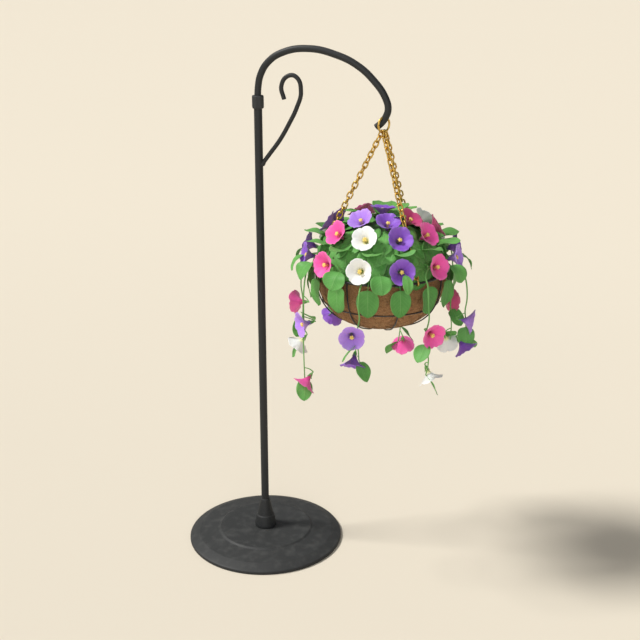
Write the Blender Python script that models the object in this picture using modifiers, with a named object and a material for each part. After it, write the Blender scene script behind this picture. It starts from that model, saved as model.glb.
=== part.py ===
"""Petunia hanging basket on its free-standing crook stand.

Metres, +Z up.  The origin is the centre of the base plate's underside.  The crook
reaches along +X, and the basket hangs plumb below the ring at the crook's tip.
Angles round the basket are measured about its own upright axis, from +X.
"""
import math

import bmesh
import bpy
from mathutils import Matrix, Vector
from mathutils.bvhtree import BVHTree

# ---------------------------------------------------------------- driving dimensions
GAP = 0.0003                    # clearance between pieces that touch

BASE_RADIUS = 0.225
BASE_TOP = 0.034                # plateau of the base plate
PLATEAU_RADIUS = 0.137
PAD_RADIUS = 0.045              # flat pad in the middle of the base's underside
RECESS_EDGE = 0.0085            # height of the hollow under the base, at its rim
RECESS_MIDDLE = 0.0190          # and beside the pad
HUB_RADIUS = 0.031
HUB_TOP = 0.122
POLE_RADIUS = 0.011
POLE_WALL = 0.0015
POLE_TOP = 1.297
SLIP_FIT = 0.0004               # radial clearance of the pole and crook in their sleeves
COLLAR_BOTTOM = 1.272
COLLAR_TOP = 1.306
COLLAR_RADIUS = 0.0165
CROOK_RADIUS = 0.009
SCROLL_RADIUS = 0.0058
SCREW_RADIUS = 0.003
HUB_SCREW_Z = 0.055
COLLAR_SCREW_Z = (COLLAR_BOTTOM + POLE_TOP) / 2

# Centre lines of the two bent bars, as (X, Z) knots from the pole to the free end.
CROOK_LINE = (
    (0.0, 1.215), (0.0, 1.300), (0.0012, 1.326), (0.0095, 1.361), (0.030, 1.392),
    (0.070, 1.4175), (0.140, 1.4290), (0.212, 1.4160), (0.268, 1.3915), (0.312, 1.3550),
    (0.3430, 1.3130), (0.3505, 1.2850), (0.3440, 1.2640), (0.3350, 1.2510), (0.3200, 1.2375),
)
SCROLL_LINE = (
    (0.0040, 1.1177), (0.0283, 1.1499), (0.0601, 1.1923), (0.0855, 1.2355), (0.1068, 1.2779),
    (0.1186, 1.3195), (0.1063, 1.3564), (0.0843, 1.3586), (0.0656, 1.3330), (0.0727, 1.2978),
)

BASKET_X = 0.340                # the basket's axis, measured from the pole
RIM_Z = 0.871
RIM_RADIUS = 0.178              # a 14 inch basket
BOWL_DEPTH = 0.164
BOWL_POWER = 2.4                # a little fuller than a half sphere
RIM_WIRE = 0.0032
RIB_WIRE = 0.0018
HOOP_WIRE = 0.0015
FOOT_WIRE = 0.0020
FOOT_RADIUS = 0.030
HOOP_DEPTH = 0.088
RIB_COUNT = 8
RIB_START = -15.0
LINER_RADIUS = 0.1722
LINER_DEPTH = 0.1605
LINER_WALL = 0.009
SOIL_TOP = RIM_Z - 0.016
SOIL_SLACK = 0.0016             # the soil bears on the liner's bottom, not on its wall

RING_MAJOR = 0.01925
RING_WIRE = 0.00275
RING_Z = 1.2455                 # centre of the hanging ring
RING_TURN = -32.0               # heading of the ring's own axis
LINK_PITCH = 0.0155
LINK_WIRE = 0.0013
LINK_EDGE = 1.25 * LINK_WIRE    # from the middle of a link's wire to its inner edge
LINK_WIDTH = 0.0134
LINK_GRIP = 1.40                # a pointed link end holds its wire this much further in
LINK_BITE = 0.0006              # how far neighbouring links sink into each other
CHAIN_ANGLES = (-45.0, 73.0, 195.0)
CHAIN_SPACING = 0.0060          # between the three top links on the ring
CHAIN_SLOTS = (0, 1, -1)        # order of the three top links along the ring's wire

CORE_RADIUS = 0.168             # foliage core, without its leaves
CORE_HEIGHT = 0.133
CORE_FOOT = SOIL_TOP + GAP
CORE_SHOULDER = RIM_Z + 0.0085  # where the foliage spreads out over the rim wire
CORE_AROUND = 30                # faces round the core
LEAF_THICKNESS = 0.0022
BLOOM_RADIUS = 0.033
BLOOM_SIDES = 8
TRAIL_BLOOM_LENGTH = 0.040      # tube of a bloom on a trailing shoot
FOOT_TIP = 0.0012               # radius of a bloom's stalk where it meets the foliage
STEM_RADIUS = 0.0017
STALK_RADIUS = 0.0014           # of the stalk between a trailing stem and a bloom
TRAIL_RADIUS = 0.232            # how far out the trailing shoots hang
TRAIL_TOP = 0.830               # where they start to hang straight down
TRAIL_STEPS = 5
TRAIL_BLOOM_AHEAD = 0.010       # from the stem forward to the face of a bloom on it
TRAIL_BLOOM_ASIDE = 0.0105      # from the stem sideways to the bloom's own axis
PEDICEL_DROP = 0.026            # how far above a bloom's foot its stalk leaves the stem
HIGH_RISE = 0.026               # every second shoot arches over this much higher
SEAT_GAP = 1.5 * GAP            # between the foliage and what is seated on it

BASKET_AXIS = Vector((BASKET_X, 0.0, 0.0))
SWING_PIVOT = Vector((BASKET_X, 0.0, RING_Z - RING_MAJOR))
PINK = (0.78, 0.09, 0.30)
PURPLE = (0.20, 0.07, 0.42)
LILAC = (0.38, 0.19, 0.70)
WHITE = (0.90, 0.90, 0.88)
CRIMSON = (0.55, 0.05, 0.17)

# A ring of blooms: first angle, distance from the axis, height, tilt of the faces, colours.
LOWER_RING = (-91.5, 0.206, 0.914, 14.0,
              (WHITE, PURPLE, PINK, LILAC, PURPLE, WHITE,
               PURPLE, PINK, WHITE, PURPLE, PURPLE, PINK))
UPPER_RING = (-93.5, 0.146, 0.982, 36.0,
              (WHITE, PURPLE, PINK, CRIMSON, WHITE, WHITE, PINK, PURPLE, PURPLE, PINK))
# One bloom on the crown: angle, distance from the axis, height, tilt, colour.
TOP_BLOOMS = (
    (-120.0, 0.081, 1.012, 58.0, LILAC),
    (-64.0, 0.076, 1.010, 68.0, PURPLE),
    (-7.0, 0.082, 1.009, 55.0, CRIMSON),
    (95.0, 0.016, 1.025, 81.0, PURPLE),
    (158.0, 0.074, 1.010, 59.0, CRIMSON),
)

# A row of leaves: angles, where it leaves the core (radius, height), path, widths.
RIM_ANGLES = (-103.0, -75.0, -48.0, -20.0, 8.0, 36.0, 62.0, 98.0, 120.0, 147.0, 187.0, 204.0, 229.0)
CROWN_ANGLES = (-152.0, -32.0, 14.0, 50.0, 88.0, 122.0, 186.0)
LEAF_ROWS = (
    (RIM_ANGLES, (0.166, 0.886),
     ((0.180, 0.886), (0.205, 0.877), (0.228, 0.860)), (0.006, 0.040, 0.005)),
    ([-86.0 + 24.0 * i for i in range(15)], (0.160, 0.878),
     ((0.176, 0.8792), (0.187, 0.8740), (0.1925, 0.8560), (0.1915, 0.8260), (0.1860, 0.7940)),
     (0.003, 0.006, 0.040, 0.044, 0.006)),
    ([-113.0 + 360.0 / 13 * i for i in range(13)], (0.148, 0.945),
     ((0.160, 0.949), (0.180, 0.958), (0.204, 0.970)), (0.006, 0.036, 0.004)),
    (CROWN_ANGLES, (0.045, 1.010),
     ((0.050, 1.020), (0.066, 1.042), (0.084, 1.048)), (0.006, 0.026, 0.004)),
)
# A leaf on a trailing shoot, as (distance from the stem, width) from stalk to point.
TRAIL_LEAF = ((0.000, 0.003), (0.010, 0.004), (0.022, 0.024), (0.034, 0.026), (0.052, 0.004))

# How a shoot arches over the rim: (distance, height, its share of any extra rise).
ARCH = ((0.196, 0.8820, 1.15), (0.214, 0.8740, 1.0), (0.226, 0.8580, 0.7))
# One trailing shoot: angle, height of its tip, its blooms and its leaves.
# A bloom is (height, turn from outward, tilt, side of the stem it is on, colour).
# A leaf is (height, turn, tilt).
SHOOTS = (
    (-90.0, 0.688, ((0.754, 17.0, -4.0, -1, LILAC), (0.669, -3.0, -60.0, -1, PURPLE)),
     ((0.762, -45.0, -40.0), (0.690, 57.0, -54.0))),
    (-45.0, 0.640, ((0.751, 1.0, -7.0, 1, PINK), (0.626, 21.0, -61.0, 1, WHITE)),
     ((0.730, -61.0, -38.0), (0.642, 35.0, -52.0))),
    (0.0, 0.678, ((0.744, 13.0, -11.0, -1, LILAC), (0.659, -8.0, -50.0, -1, PURPLE)),
     ((0.722, -73.0, -66.0), (0.680, -50.0, -35.0))),
    (45.0, 0.622, ((0.732, 8.0, -8.0, 1, CRIMSON), (0.603, 30.0, -56.0, 1, WHITE)),
     ((0.715, -75.0, -42.0), (0.626, 70.0, -50.0))),
    (90.0, 0.574, ((0.690, 10.0, -8.0, -1, PURPLE), (0.555, 8.0, -56.0, -1, PINK)),
     ((0.620, -70.0, -45.0), (0.576, 75.0, -48.0))),
    (135.0, 0.672, ((0.735, -12.0, -6.0, 1, WHITE), (0.652, 10.0, -52.0, 1, PURPLE)),
     ((0.705, 80.0, -45.0), (0.674, -65.0, -50.0))),
    (173.0, 0.628, ((0.742, -5.0, -8.0, 1, PINK), (0.609, 11.0, -52.0, 1, WHITE)),
     ((0.640, 69.0, -34.0), (0.630, 31.0, -58.0))),
    (225.0, 0.592, ((0.750, -2.0, -5.0, 1, LILAC), (0.573, 2.0, -49.0, 1, PINK)),
     ((0.772, 70.0, -30.0), (0.594, 58.0, -66.0))),
)


# ---------------------------------------------------------------- scene and materials
def clear_scene():
    for ob in list(bpy.data.objects):
        bpy.data.objects.remove(ob, do_unlink=True)


def new_collection(name):
    collection = bpy.data.collections.new(name)
    bpy.context.scene.collection.children.link(collection)
    return collection


def material(name, colour, roughness, metallic=0.0):
    mat = bpy.data.materials.get(name)
    if mat is None:
        mat = bpy.data.materials.new(name)
        mat.use_nodes = True
        shader = mat.node_tree.nodes["Principled BSDF"]
        shader.inputs["Base Color"].default_value = (*colour, 1.0)
        shader.inputs["Roughness"].default_value = roughness
        shader.inputs["Metallic"].default_value = metallic
    return mat


def place(name, mesh, mat, location=(0.0, 0.0, 0.0)):
    """One named piece in the part's own collection."""
    mesh.name = name
    mesh.materials.clear()
    mesh.materials.append(mat)
    ob = bpy.data.objects.new(name, mesh)
    ob.location = location
    PART.objects.link(ob)
    return ob


def keep_as_cutter(ob):
    PART.objects.unlink(ob)
    CUTTERS.objects.link(ob)
    ob.hide_render = True
    ob.display_type = "WIRE"


def hang_from(pivot, pieces):
    """Parent pieces to an empty and leave them where they are."""
    bpy.context.view_layer.update()
    for piece in pieces:
        piece.parent = pivot
        piece.matrix_parent_inverse = pivot.matrix_world.inverted()


def smooth(ob, angle=35.0):
    ob.data.shade_smooth()
    ob.data.set_sharp_from_angle(angle=math.radians(angle))


# ---------------------------------------------------------------- basic shapes
def turned(name, profile, steps, mat, closed=False, location=(0.0, 0.0, 0.0)):
    """A profile of (radius, height) points turned about the local Z axis."""
    mesh = bpy.data.meshes.new(name)
    edges = [(i, i + 1) for i in range(len(profile) - 1)]
    if closed:
        edges.append((len(profile) - 1, 0))
    mesh.from_pydata([(r, 0.0, z) for r, z in profile], edges, [])
    ob = place(name, mesh, mat, location)
    screw = ob.modifiers.new("turn", "SCREW")
    screw.axis = "Z"
    screw.steps = steps
    screw.render_steps = steps
    screw.use_merge_vertices = True
    screw.merge_threshold = 0.00001
    return ob


def evaluated_mesh(ob):
    """The object's final shape as a mesh in world space, with its caps welded."""
    bpy.context.view_layer.update()
    depsgraph = bpy.context.evaluated_depsgraph_get()
    mesh = bpy.data.meshes.new_from_object(ob.evaluated_get(depsgraph))
    mesh.transform(ob.matrix_world)
    bm = bmesh.new()
    bm.from_mesh(mesh)
    bmesh.ops.remove_doubles(bm, verts=bm.verts, dist=0.00001)
    bm.to_mesh(mesh)
    bm.free()
    return mesh


def frozen(ob):
    """Replace an object by its evaluated mesh."""
    name = ob.name
    mat = ob.data.materials[0]
    mesh = evaluated_mesh(ob)
    bpy.data.objects.remove(ob, do_unlink=True)
    return place(name, mesh, mat)


def rod(name, points, radius, mat, kind="POLY", sides=6, cyclic=False, steps=4):
    """A round bar along points, as a bevelled curve turned into a mesh."""
    curve = bpy.data.curves.new(name, "CURVE")
    curve.dimensions = "3D"
    curve.bevel_depth = radius
    curve.bevel_resolution = (sides - 4) // 2
    curve.use_fill_caps = not cyclic
    curve.resolution_u = steps
    spline = curve.splines.new(kind)
    if kind == "BEZIER":
        spline.bezier_points.add(len(points) - 1)
        for knot, point in zip(spline.bezier_points, points):
            knot.co = point
            knot.handle_left_type = "AUTO"
            knot.handle_right_type = "AUTO"
    else:
        spline.points.add(len(points) - 1)
        for knot, point in zip(spline.points, points):
            knot.co = (*point, 1.0)
    spline.use_cyclic_u = cyclic
    curve.materials.append(mat)
    ob = bpy.data.objects.new(name, curve)
    PART.objects.link(ob)
    return frozen(ob)


def triangulate(ob):
    """Flat faces only, so that every reader sees the same surface."""
    bm = bmesh.new()
    bm.from_mesh(ob.data)
    bmesh.ops.triangulate(bm, faces=bm.faces)
    bm.to_mesh(ob.data)
    bm.free()


def boolean(target, tool, operation):
    change = target.modifiers.new("boolean", "BOOLEAN")
    change.operation = operation
    change.object = tool
    change.solver = "EXACT"
    return frozen(target)


def join(target, tools):
    """Unite the tools with the target, and drop them."""
    for tool in tools:
        target = boolean(target, tool, "UNION")
        bpy.data.objects.remove(tool, do_unlink=True)
    return target


def cut(target, tools):
    """Cut the tools out of the target, and keep them as wire guides."""
    for tool in tools:
        target = boolean(target, tool, "DIFFERENCE")
        keep_as_cutter(tool)
    return target


def polar(angle, radius, height):
    """A point round the basket's axis; angle in degrees."""
    a = math.radians(angle)
    return Vector((BASKET_X + radius * math.cos(a), radius * math.sin(a), height))


def beside_chains(angle, margin):
    """The angle itself, or moved until it is margin degrees from the nearest chain."""
    for other in CHAIN_ANGLES:
        away = (angle - other + 180.0) % 360.0 - 180.0
        if abs(away) < margin:
            return other + math.copysign(margin, away)
    return angle


def heading(angle, tilt=0.0):
    """A unit direction; tilt is its elevation in degrees."""
    a = math.radians(angle)
    e = math.radians(tilt)
    return Vector((math.cos(a) * math.cos(e), math.sin(a) * math.cos(e), math.sin(e)))


def bowl_radius(depth, radius, total_depth):
    """Radius of a bowl at a depth under its rim."""
    return radius * (1.0 - (depth / total_depth) ** BOWL_POWER) ** (1.0 / BOWL_POWER)


def bowl_profile(radius, total_depth, top, count):
    """Points down a bowl's outer side, from a height to its middle."""
    points = []
    first = max(0.0, (RIM_Z - top) / total_depth)
    for i in range(count + 1):
        share = i / count
        depth = total_depth * (first + (1.0 - first) * math.sin(share * math.pi / 2))
        points.append((bowl_radius(min(depth, total_depth), radius, total_depth), RIM_Z - depth))
    points[-1] = (0.0, RIM_Z - total_depth)
    return points


# ---------------------------------------------------------------- the stand
def base_plate(iron):
    """Cast disc: a stepped top, and a recess below between its rim and a centre pad."""
    profile = [(0.0, BASE_TOP), (PLATEAU_RADIUS - 0.003, BASE_TOP - 0.0005),
               (PLATEAU_RADIUS, BASE_TOP - 0.0025), (PLATEAU_RADIUS + 0.003, BASE_TOP - 0.0045),
               (BASE_RADIUS - 0.029, 0.0215), (BASE_RADIUS - 0.0025, 0.0105),
               (BASE_RADIUS, 0.0080), (BASE_RADIUS, 0.0015), (BASE_RADIUS - 0.0015, 0.0),
               (BASE_RADIUS - 0.016, 0.0), (BASE_RADIUS - 0.020, RECESS_EDGE),
               (PAD_RADIUS + 0.004, RECESS_MIDDLE), (PAD_RADIUS, 0.0), (0.0, 0.0)]
    smooth(turned("base_plate", profile, 40, iron))


def base_hub(iron):
    """A stepped cone that holds the pole's foot, with a tapped hole for its screw."""
    bottom = BASE_TOP + GAP
    bore = POLE_RADIUS + SLIP_FIT
    profile = [(0.0128, HUB_TOP), (0.0142, HUB_TOP - 0.003), (0.0222, 0.0790), (0.0236, 0.0720),
               (0.0262, 0.0690), (HUB_RADIUS, 0.0420), (HUB_RADIUS, bottom), (bore, bottom),
               (bore, HUB_TOP)]
    hub = frozen(turned("base_hub", profile, 20, iron, closed=True))
    hole = pin("hub_hole", SCREW_RADIUS + GAP, 0.0, 2 * HUB_RADIUS, HUB_SCREW_Z, iron)
    smooth(cut(hub, [hole]))


def pin(name, radius, inner, outer, height, mat):
    """A short round bar along +Y at the pole, from inner to outer."""
    bm = bmesh.new()
    bmesh.ops.create_cone(bm, cap_ends=True, segments=10, radius1=radius, radius2=radius,
                          depth=outer - inner)
    spin = Matrix.Rotation(math.radians(-90.0), 4, "X")
    bmesh.ops.transform(bm, matrix=spin, verts=bm.verts)
    bmesh.ops.translate(bm, vec=(0.0, (inner + outer) / 2, height), verts=bm.verts)
    mesh = bpy.data.meshes.new(name)
    bm.to_mesh(mesh)
    bm.free()
    return place(name, mesh, mat)


def pole(steel):
    bottom = BASE_TOP + GAP
    inner = POLE_RADIUS - POLE_WALL
    profile = [(POLE_RADIUS, POLE_TOP), (POLE_RADIUS, bottom), (inner, bottom), (inner, POLE_TOP)]
    smooth(turned("pole", profile, 20, steel, closed=True))


def collar(iron):
    """Eight-sided sleeve over the joint of pole and crook."""
    across_flats = math.cos(math.radians(22.5))
    bore = (POLE_RADIUS + SLIP_FIT) / across_flats
    neck = (CROOK_RADIUS + SLIP_FIT) / across_flats
    step = POLE_TOP + 0.001
    profile = [(COLLAR_RADIUS - 0.002, COLLAR_TOP), (COLLAR_RADIUS, COLLAR_TOP - 0.0025),
               (COLLAR_RADIUS, COLLAR_BOTTOM + 0.0035), (COLLAR_RADIUS - 0.0015, COLLAR_BOTTOM),
               (bore, COLLAR_BOTTOM), (bore, step), (neck, step), (neck, COLLAR_TOP)]
    sleeve = frozen(turned("collar", profile, 8, iron, closed=True))
    hole = pin("collar_hole", SCREW_RADIUS + GAP, 0.0, 2 * COLLAR_RADIUS, COLLAR_SCREW_Z, iron)
    cut(sleeve, [hole])


def ring_frame():
    """Centre and turn of the hanging ring, which stands upright."""
    return Matrix.Translation((BASKET_X, 0.0, RING_Z)) @ Matrix.Rotation(
        math.radians(RING_TURN), 4, "Z")


def torus(name, major, minor, mat, around, across):
    """A ring in the local YZ plane, so that its own axis is local X."""
    points = []
    for i in range(around):
        a = 2.0 * math.pi * i / around
        points.append((0.0, major * math.cos(a), major * math.sin(a)))
    return rod(name, points, minor, mat, sides=across, cyclic=True)


def crook(steel):
    """A swept bar with a shallow saddle in which the ring hangs."""
    bar = rod("crook", [(x, 0.0, z) for x, z in CROOK_LINE], CROOK_RADIUS, steel, "BEZIER",
              sides=10, steps=3)
    saddle = torus("saddle", RING_MAJOR, RING_WIRE + GAP, steel, 28, 10)
    saddle.matrix_world = ring_frame()
    smooth(cut(bar, [saddle]))


def scroll(steel):
    """Ornamental bar, coped to the pole at its foot, that curls under the crook."""
    bar = rod("scroll", [(x, 0.0, z) for x, z in SCROLL_LINE], SCROLL_RADIUS, steel, "BEZIER",
              sides=8)
    foot = SCROLL_LINE[0][1]
    round_pole = [(0.0, 0.0, foot - 0.03), (0.0, 0.0, foot + 0.05)]
    cope = rod("cope", round_pole, POLE_RADIUS + GAP, steel, sides=20)
    smooth(cut(bar, [cope]))


def stand():
    iron = material("black_cast_iron", (0.030, 0.031, 0.033), 0.55, 0.6)
    steel = material("black_painted_steel", (0.028, 0.029, 0.031), 0.40, 0.3)
    screw = material("steel", (0.35, 0.35, 0.36), 0.35, 1.0)
    brass = material("brass", (0.50, 0.33, 0.07), 0.35, 1.0)
    base_plate(iron)
    base_hub(iron)
    pole(steel)
    collar(iron)
    crook(steel)
    scroll(steel)
    tip = POLE_RADIUS + GAP
    pin("hub_screw", SCREW_RADIUS, tip, HUB_RADIUS - 0.0005, HUB_SCREW_Z, screw)
    pin("collar_screw", SCREW_RADIUS, tip, COLLAR_RADIUS + 0.0015, COLLAR_SCREW_Z, screw)
    ring = torus("hanging_ring", RING_MAJOR, RING_WIRE, brass, 28, 8)
    ring.matrix_world = ring_frame()
    smooth(ring)


# ---------------------------------------------------------------- chains
def chain_line(index):
    """Top and bottom centre of one chain: on the ring's wire and on the rim wire."""
    across = heading(RING_TURN + 90.0)
    shift = CHAIN_SLOTS[index] * CHAIN_SPACING
    rise = RING_MAJOR - math.sqrt(RING_MAJOR ** 2 - shift ** 2)
    top = Vector((BASKET_X, 0.0, RING_Z - RING_MAJOR + rise)) + across * shift
    return top, polar(CHAIN_ANGLES[index], RIM_RADIUS, RIM_Z)


def link_mesh(name, centre, along, normal, length):
    """One oval link: a six-sided loop of three-sided wire, in the plane across its normal."""
    side = normal.cross(along).normalized()
    half = length / 2 - LINK_EDGE
    wide = LINK_WIDTH / 2 - LINK_WIRE
    shoulder = half * 0.45
    corners = [(half, 0.0), (shoulder, wide), (-shoulder, wide), (-half, 0.0),
               (-shoulder, -wide), (shoulder, -wide)]
    bm = bmesh.new()
    loops = []
    for a, b in corners:
        spot = centre + along * a + side * b
        out = (along * a + side * b * 1.6).normalized()
        loops.append([bm.verts.new(spot + (out * u + normal * v) * LINK_EDGE)
                      for u, v in ((0.5, 0.87), (-1.0, 0.0), (0.5, -0.87))])
    for i, loop in enumerate(loops):
        after = loops[(i + 1) % len(loops)]
        for j in range(3):
            k = (j + 1) % 3
            bm.faces.new((loop[j], loop[k], after[k], after[j]))
    bmesh.ops.recalc_face_normals(bm, faces=bm.faces)
    mesh = bpy.data.meshes.new(name)
    bm.to_mesh(mesh)
    bm.free()
    return mesh


def chain(index, brass):
    """Oval links from the ring to the rim, each turned a quarter from the last."""
    top, bottom = chain_line(index)
    along = (bottom - top).normalized()
    start = top - along * LINK_GRIP * (RING_WIRE + LINK_EDGE + GAP)
    end = bottom + along * LINK_GRIP * (RIM_WIRE + LINK_EDGE + GAP)
    hold = 2 * LINK_EDGE - LINK_BITE
    count = 2 * round(((end - start).length / LINK_PITCH - 1.0) / 2) + 1
    pitch = ((end - start).length - hold) / count
    length = pitch + hold + 2 * LINK_EDGE
    across = heading(RING_TURN + 90.0)
    first = (across - along * across.dot(along)).normalized()
    tangent = heading(CHAIN_ANGLES[index] + 90.0)
    last = (tangent - along * tangent.dot(along)).normalized()
    if first.dot(last) < 0.0:
        last = -last
    twist = math.atan2(along.dot(first.cross(last)), first.dot(last))
    pieces = []
    for i in range(count):
        turn = twist * i / (count - 1) + math.radians(90.0) * (i % 2)
        normal = Matrix.Rotation(turn, 3, along) @ first
        centre = start + along * (pitch * (i + 0.5) + hold / 2)
        name = f"chain_{index + 1}" if i == 0 else f"link_{i}"
        pieces.append(place(name, link_mesh(name, centre, along, normal, length), brass))
    join(pieces[0], pieces[1:])


# ---------------------------------------------------------------- the wire basket
def wire_basket(steel):
    rim = torus("rim_ring", RIM_RADIUS, RIM_WIRE, steel, 40, 8)
    rim.matrix_world = Matrix.Translation((BASKET_X, 0.0, RIM_Z)) @ Matrix.Rotation(
        math.radians(90.0), 4, "Y")
    smooth(rim)

    hoop_radius = bowl_radius(HOOP_DEPTH, LINER_RADIUS, LINER_DEPTH) + HOOP_WIRE + 3 * GAP
    hoop = torus("mid_hoop", hoop_radius, HOOP_WIRE, steel, 32, 6)
    hoop.matrix_world = Matrix.Translation((BASKET_X, 0.0, RIM_Z - HOOP_DEPTH)) @ (
        Matrix.Rotation(math.radians(RIB_START), 4, "Z") @
        Matrix.Rotation(math.radians(90.0), 4, "Y"))
    smooth(hoop)

    foot = torus("rib_cradle", FOOT_RADIUS, FOOT_WIRE, steel, 16, 6)
    foot.matrix_world = Matrix.Translation((BASKET_X, 0.0, RIM_Z - BOWL_DEPTH)) @ (
        Matrix.Rotation(math.radians(90.0), 4, "Y"))
    ribs = [rib(f"rib_{i}", RIB_START + 360.0 * i / RIB_COUNT, steel) for i in range(RIB_COUNT)]
    smooth(join(frozen(foot), ribs))


def rib(name, angle, steel):
    """One wire from under the rim to the foot ring."""
    top = RIM_WIRE + RIB_WIRE + GAP
    points = [polar(angle, RIM_RADIUS, RIM_Z - top + 0.0015)]
    for share in (0.16, 0.36, 0.55, 0.72, 0.86, 0.95):
        depth = BOWL_DEPTH * share
        points.append(polar(angle, bowl_radius(depth, RIM_RADIUS, BOWL_DEPTH), RIM_Z - depth))
    points.append(polar(angle, FOOT_RADIUS + 0.020, RIM_Z - BOWL_DEPTH + 0.0012))
    points.append(polar(angle, FOOT_RADIUS - 0.001, RIM_Z - BOWL_DEPTH))
    return rod(name, points, RIB_WIRE, steel)


def liner(coir):
    """Thick fibre bowl, open at the top."""
    top = RIM_Z - 0.003
    outer = bowl_profile(LINER_RADIUS, LINER_DEPTH, top, 8)
    inner = bowl_profile(LINER_RADIUS - LINER_WALL, LINER_DEPTH - LINER_WALL, top, 7)
    smooth(turned("coir_liner", inner[::-1] + outer, 28, coir, location=BASKET_AXIS))


def soil(earth):
    radius = LINER_RADIUS - LINER_WALL - SOIL_SLACK
    depth = LINER_DEPTH - LINER_WALL - GAP
    profile = bowl_profile(radius, depth, SOIL_TOP, 7)
    smooth(turned("potting_soil", [(0.0, SOIL_TOP)] + profile, 28, earth, location=BASKET_AXIS))


# ---------------------------------------------------------------- foliage
def swell(angle, share):
    """Lumpiness of the foliage: soft bulges that fade out at its foot and crown."""
    a = math.radians(angle)
    waves = math.sin(5 * a + 0.7) * 0.5 + math.sin(8 * a + 2.1 + 3.0 * share) * 0.35
    return 1.0 + 0.030 * waves * math.sin(math.pi * min(1.0, max(0.0, share)))


def core_mesh():
    """Foliage core: a plug on the soil that spreads over the rim into a lumpy dome."""
    around = CORE_AROUND
    rows = [(0.150, CORE_FOOT), (0.1535, RIM_Z - 0.006), (0.1555, RIM_Z + 0.004),
            (0.1640, CORE_SHOULDER), (CORE_RADIUS, CORE_SHOULDER + 0.012)]
    for lift in (24.0, 42.0, 59.0, 75.0):
        e = math.radians(lift)
        rows.append((CORE_RADIUS * math.cos(e), CORE_SHOULDER + 0.012
                     + (CORE_HEIGHT - 0.020) * math.sin(e)))
    bm = bmesh.new()
    loops = []
    for radius, height in rows:
        share = (height - CORE_SHOULDER) / CORE_HEIGHT
        loop = []
        for i in range(around):
            angle = 360.0 * i / around
            loop.append(bm.verts.new(polar(angle, radius * swell(angle, share), height)))
        loops.append(loop)
    for low, high in zip(loops, loops[1:]):
        for i in range(around):
            k = (i + 1) % around
            bm.faces.new((low[i], low[k], high[k], high[i]))
    foot = bm.verts.new(polar(0.0, 0.0, CORE_FOOT))
    crown = bm.verts.new(polar(0.0, 0.0, CORE_SHOULDER + CORE_HEIGHT - 0.007))
    for i in range(around):
        k = (i + 1) % around
        bm.faces.new((foot, loops[0][k], loops[0][i]))
        bm.faces.new((crown, loops[-1][i], loops[-1][k]))
    bm.normal_update()
    return bm


def grow_leaf(bm, spot, stations):
    """Grow a leaf from the core's face nearest to a spot.

    Each station is (centre, across, up, width) of the blade's section.
    """
    face = min((f for f in bm.faces if len(f.verts) == 4),
               key=lambda f: (f.calc_center_median() - spot).length)
    for centre, across, up, width in stations:
        face = bmesh.ops.extrude_discrete_faces(bm, faces=[face])["faces"][0]
        section = [centre + across * (width * u) + up * (LEAF_THICKNESS * v)
                   for u, v in ((-0.5, -0.5), (0.5, -0.5), (0.5, 0.5), (-0.5, 0.5))]
        verts = list(face.verts)
        if (section[1] - section[0]).cross(section[3] - section[0]).dot(face.normal) < 0.0:
            section.reverse()
        turns = [section[i:] + section[:i] for i in range(4)]
        best = min(turns, key=lambda t: sum((v.co - p).length for v, p in zip(verts, t)))
        for vert, point in zip(verts, best):
            vert.co = point
        face.normal_update()


def blade(angle, path, widths):
    """Stations of a leaf that follows (radius, height) points outwards."""
    across = heading(angle + 90.0)
    stations = []
    for i, ((radius, height), width) in enumerate(zip(path, widths)):
        before = path[max(0, i - 1)]
        after = path[min(len(path) - 1, i + 1)]
        run = heading(angle) * (after[0] - before[0]) + Vector((0, 0, after[1] - before[1]))
        up = across.cross(run).normalized() * -1.0
        stations.append((polar(angle, radius, height), across, up, width))
    return stations


def foliage(leaf):
    bm = core_mesh()
    for angles, (radius, height), path, widths in LEAF_ROWS:
        for angle in angles:
            free = beside_chains(angle, 10.0)
            grow_leaf(bm, polar(free, radius, height), blade(free, path, widths))
    mesh = bpy.data.meshes.new("foliage")
    bm.to_mesh(mesh)
    bm.free()
    mound = place("foliage", mesh, leaf)
    channels = []
    for index in range(3):
        top, bottom = chain_line(index)
        line = [bottom + (bottom - top) * 0.05, top]
        channels.append(rod(f"channel_{index}", line, LINK_WIDTH / 2 + 0.0025, leaf, sides=8))
    triangulate(cut(mound, channels))


# ---------------------------------------------------------------- petunias
def bloom_profile(length):
    """Tube, flared face and raised eye of one bloom, turned about its own axis."""
    return [(0.0, length + 0.0015), (0.0080, length - 0.0030), (BLOOM_RADIUS, length + 0.0085),
            (BLOOM_RADIUS - 0.0004, length + 0.0068), (0.0090, length - 0.0100),
            (FOOT_TIP, 0.0), (0.0, 0.0)]


def bloom(name, base, direction, length, colour):
    """One petunia: its foot at base, its face along direction."""
    mat = material("petal_" + "_".join(f"{c:.2f}" for c in colour), colour, 0.55)
    ob = turned(name, bloom_profile(length), BLOOM_SIDES, mat)
    ob.matrix_world = Matrix.Translation(base) @ direction.to_track_quat("Z", "Y").to_matrix(
        ).to_4x4()
    return frozen(ob)


def seat(tree, start, direction, radius):
    """Slide a round end of a radius back along its direction until it is just clear."""
    hit, _, _, _ = tree.ray_cast(start, -direction)
    spot = hit + direction * 0.006
    side = direction.orthogonal().normalized() * radius
    ring = [Matrix.Rotation(math.radians(45.0 * i), 3, direction) @ side for i in range(8)]
    for _ in range(12):
        room = min(tree.find_nearest(spot + offset)[3] for offset in ring)
        spot = spot - direction * (room - SEAT_GAP)
    return spot


def seated_bloom(name, tree, angle, radius, height, tilt, colour):
    """A bloom whose face is at a place, and whose foot just clears the foliage."""
    face = polar(angle, radius, height)
    direction = heading(angle, tilt)
    foot = seat(tree, face, direction, FOOT_TIP)
    bloom(name, foot, direction, (face - foot).length, colour)


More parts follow.
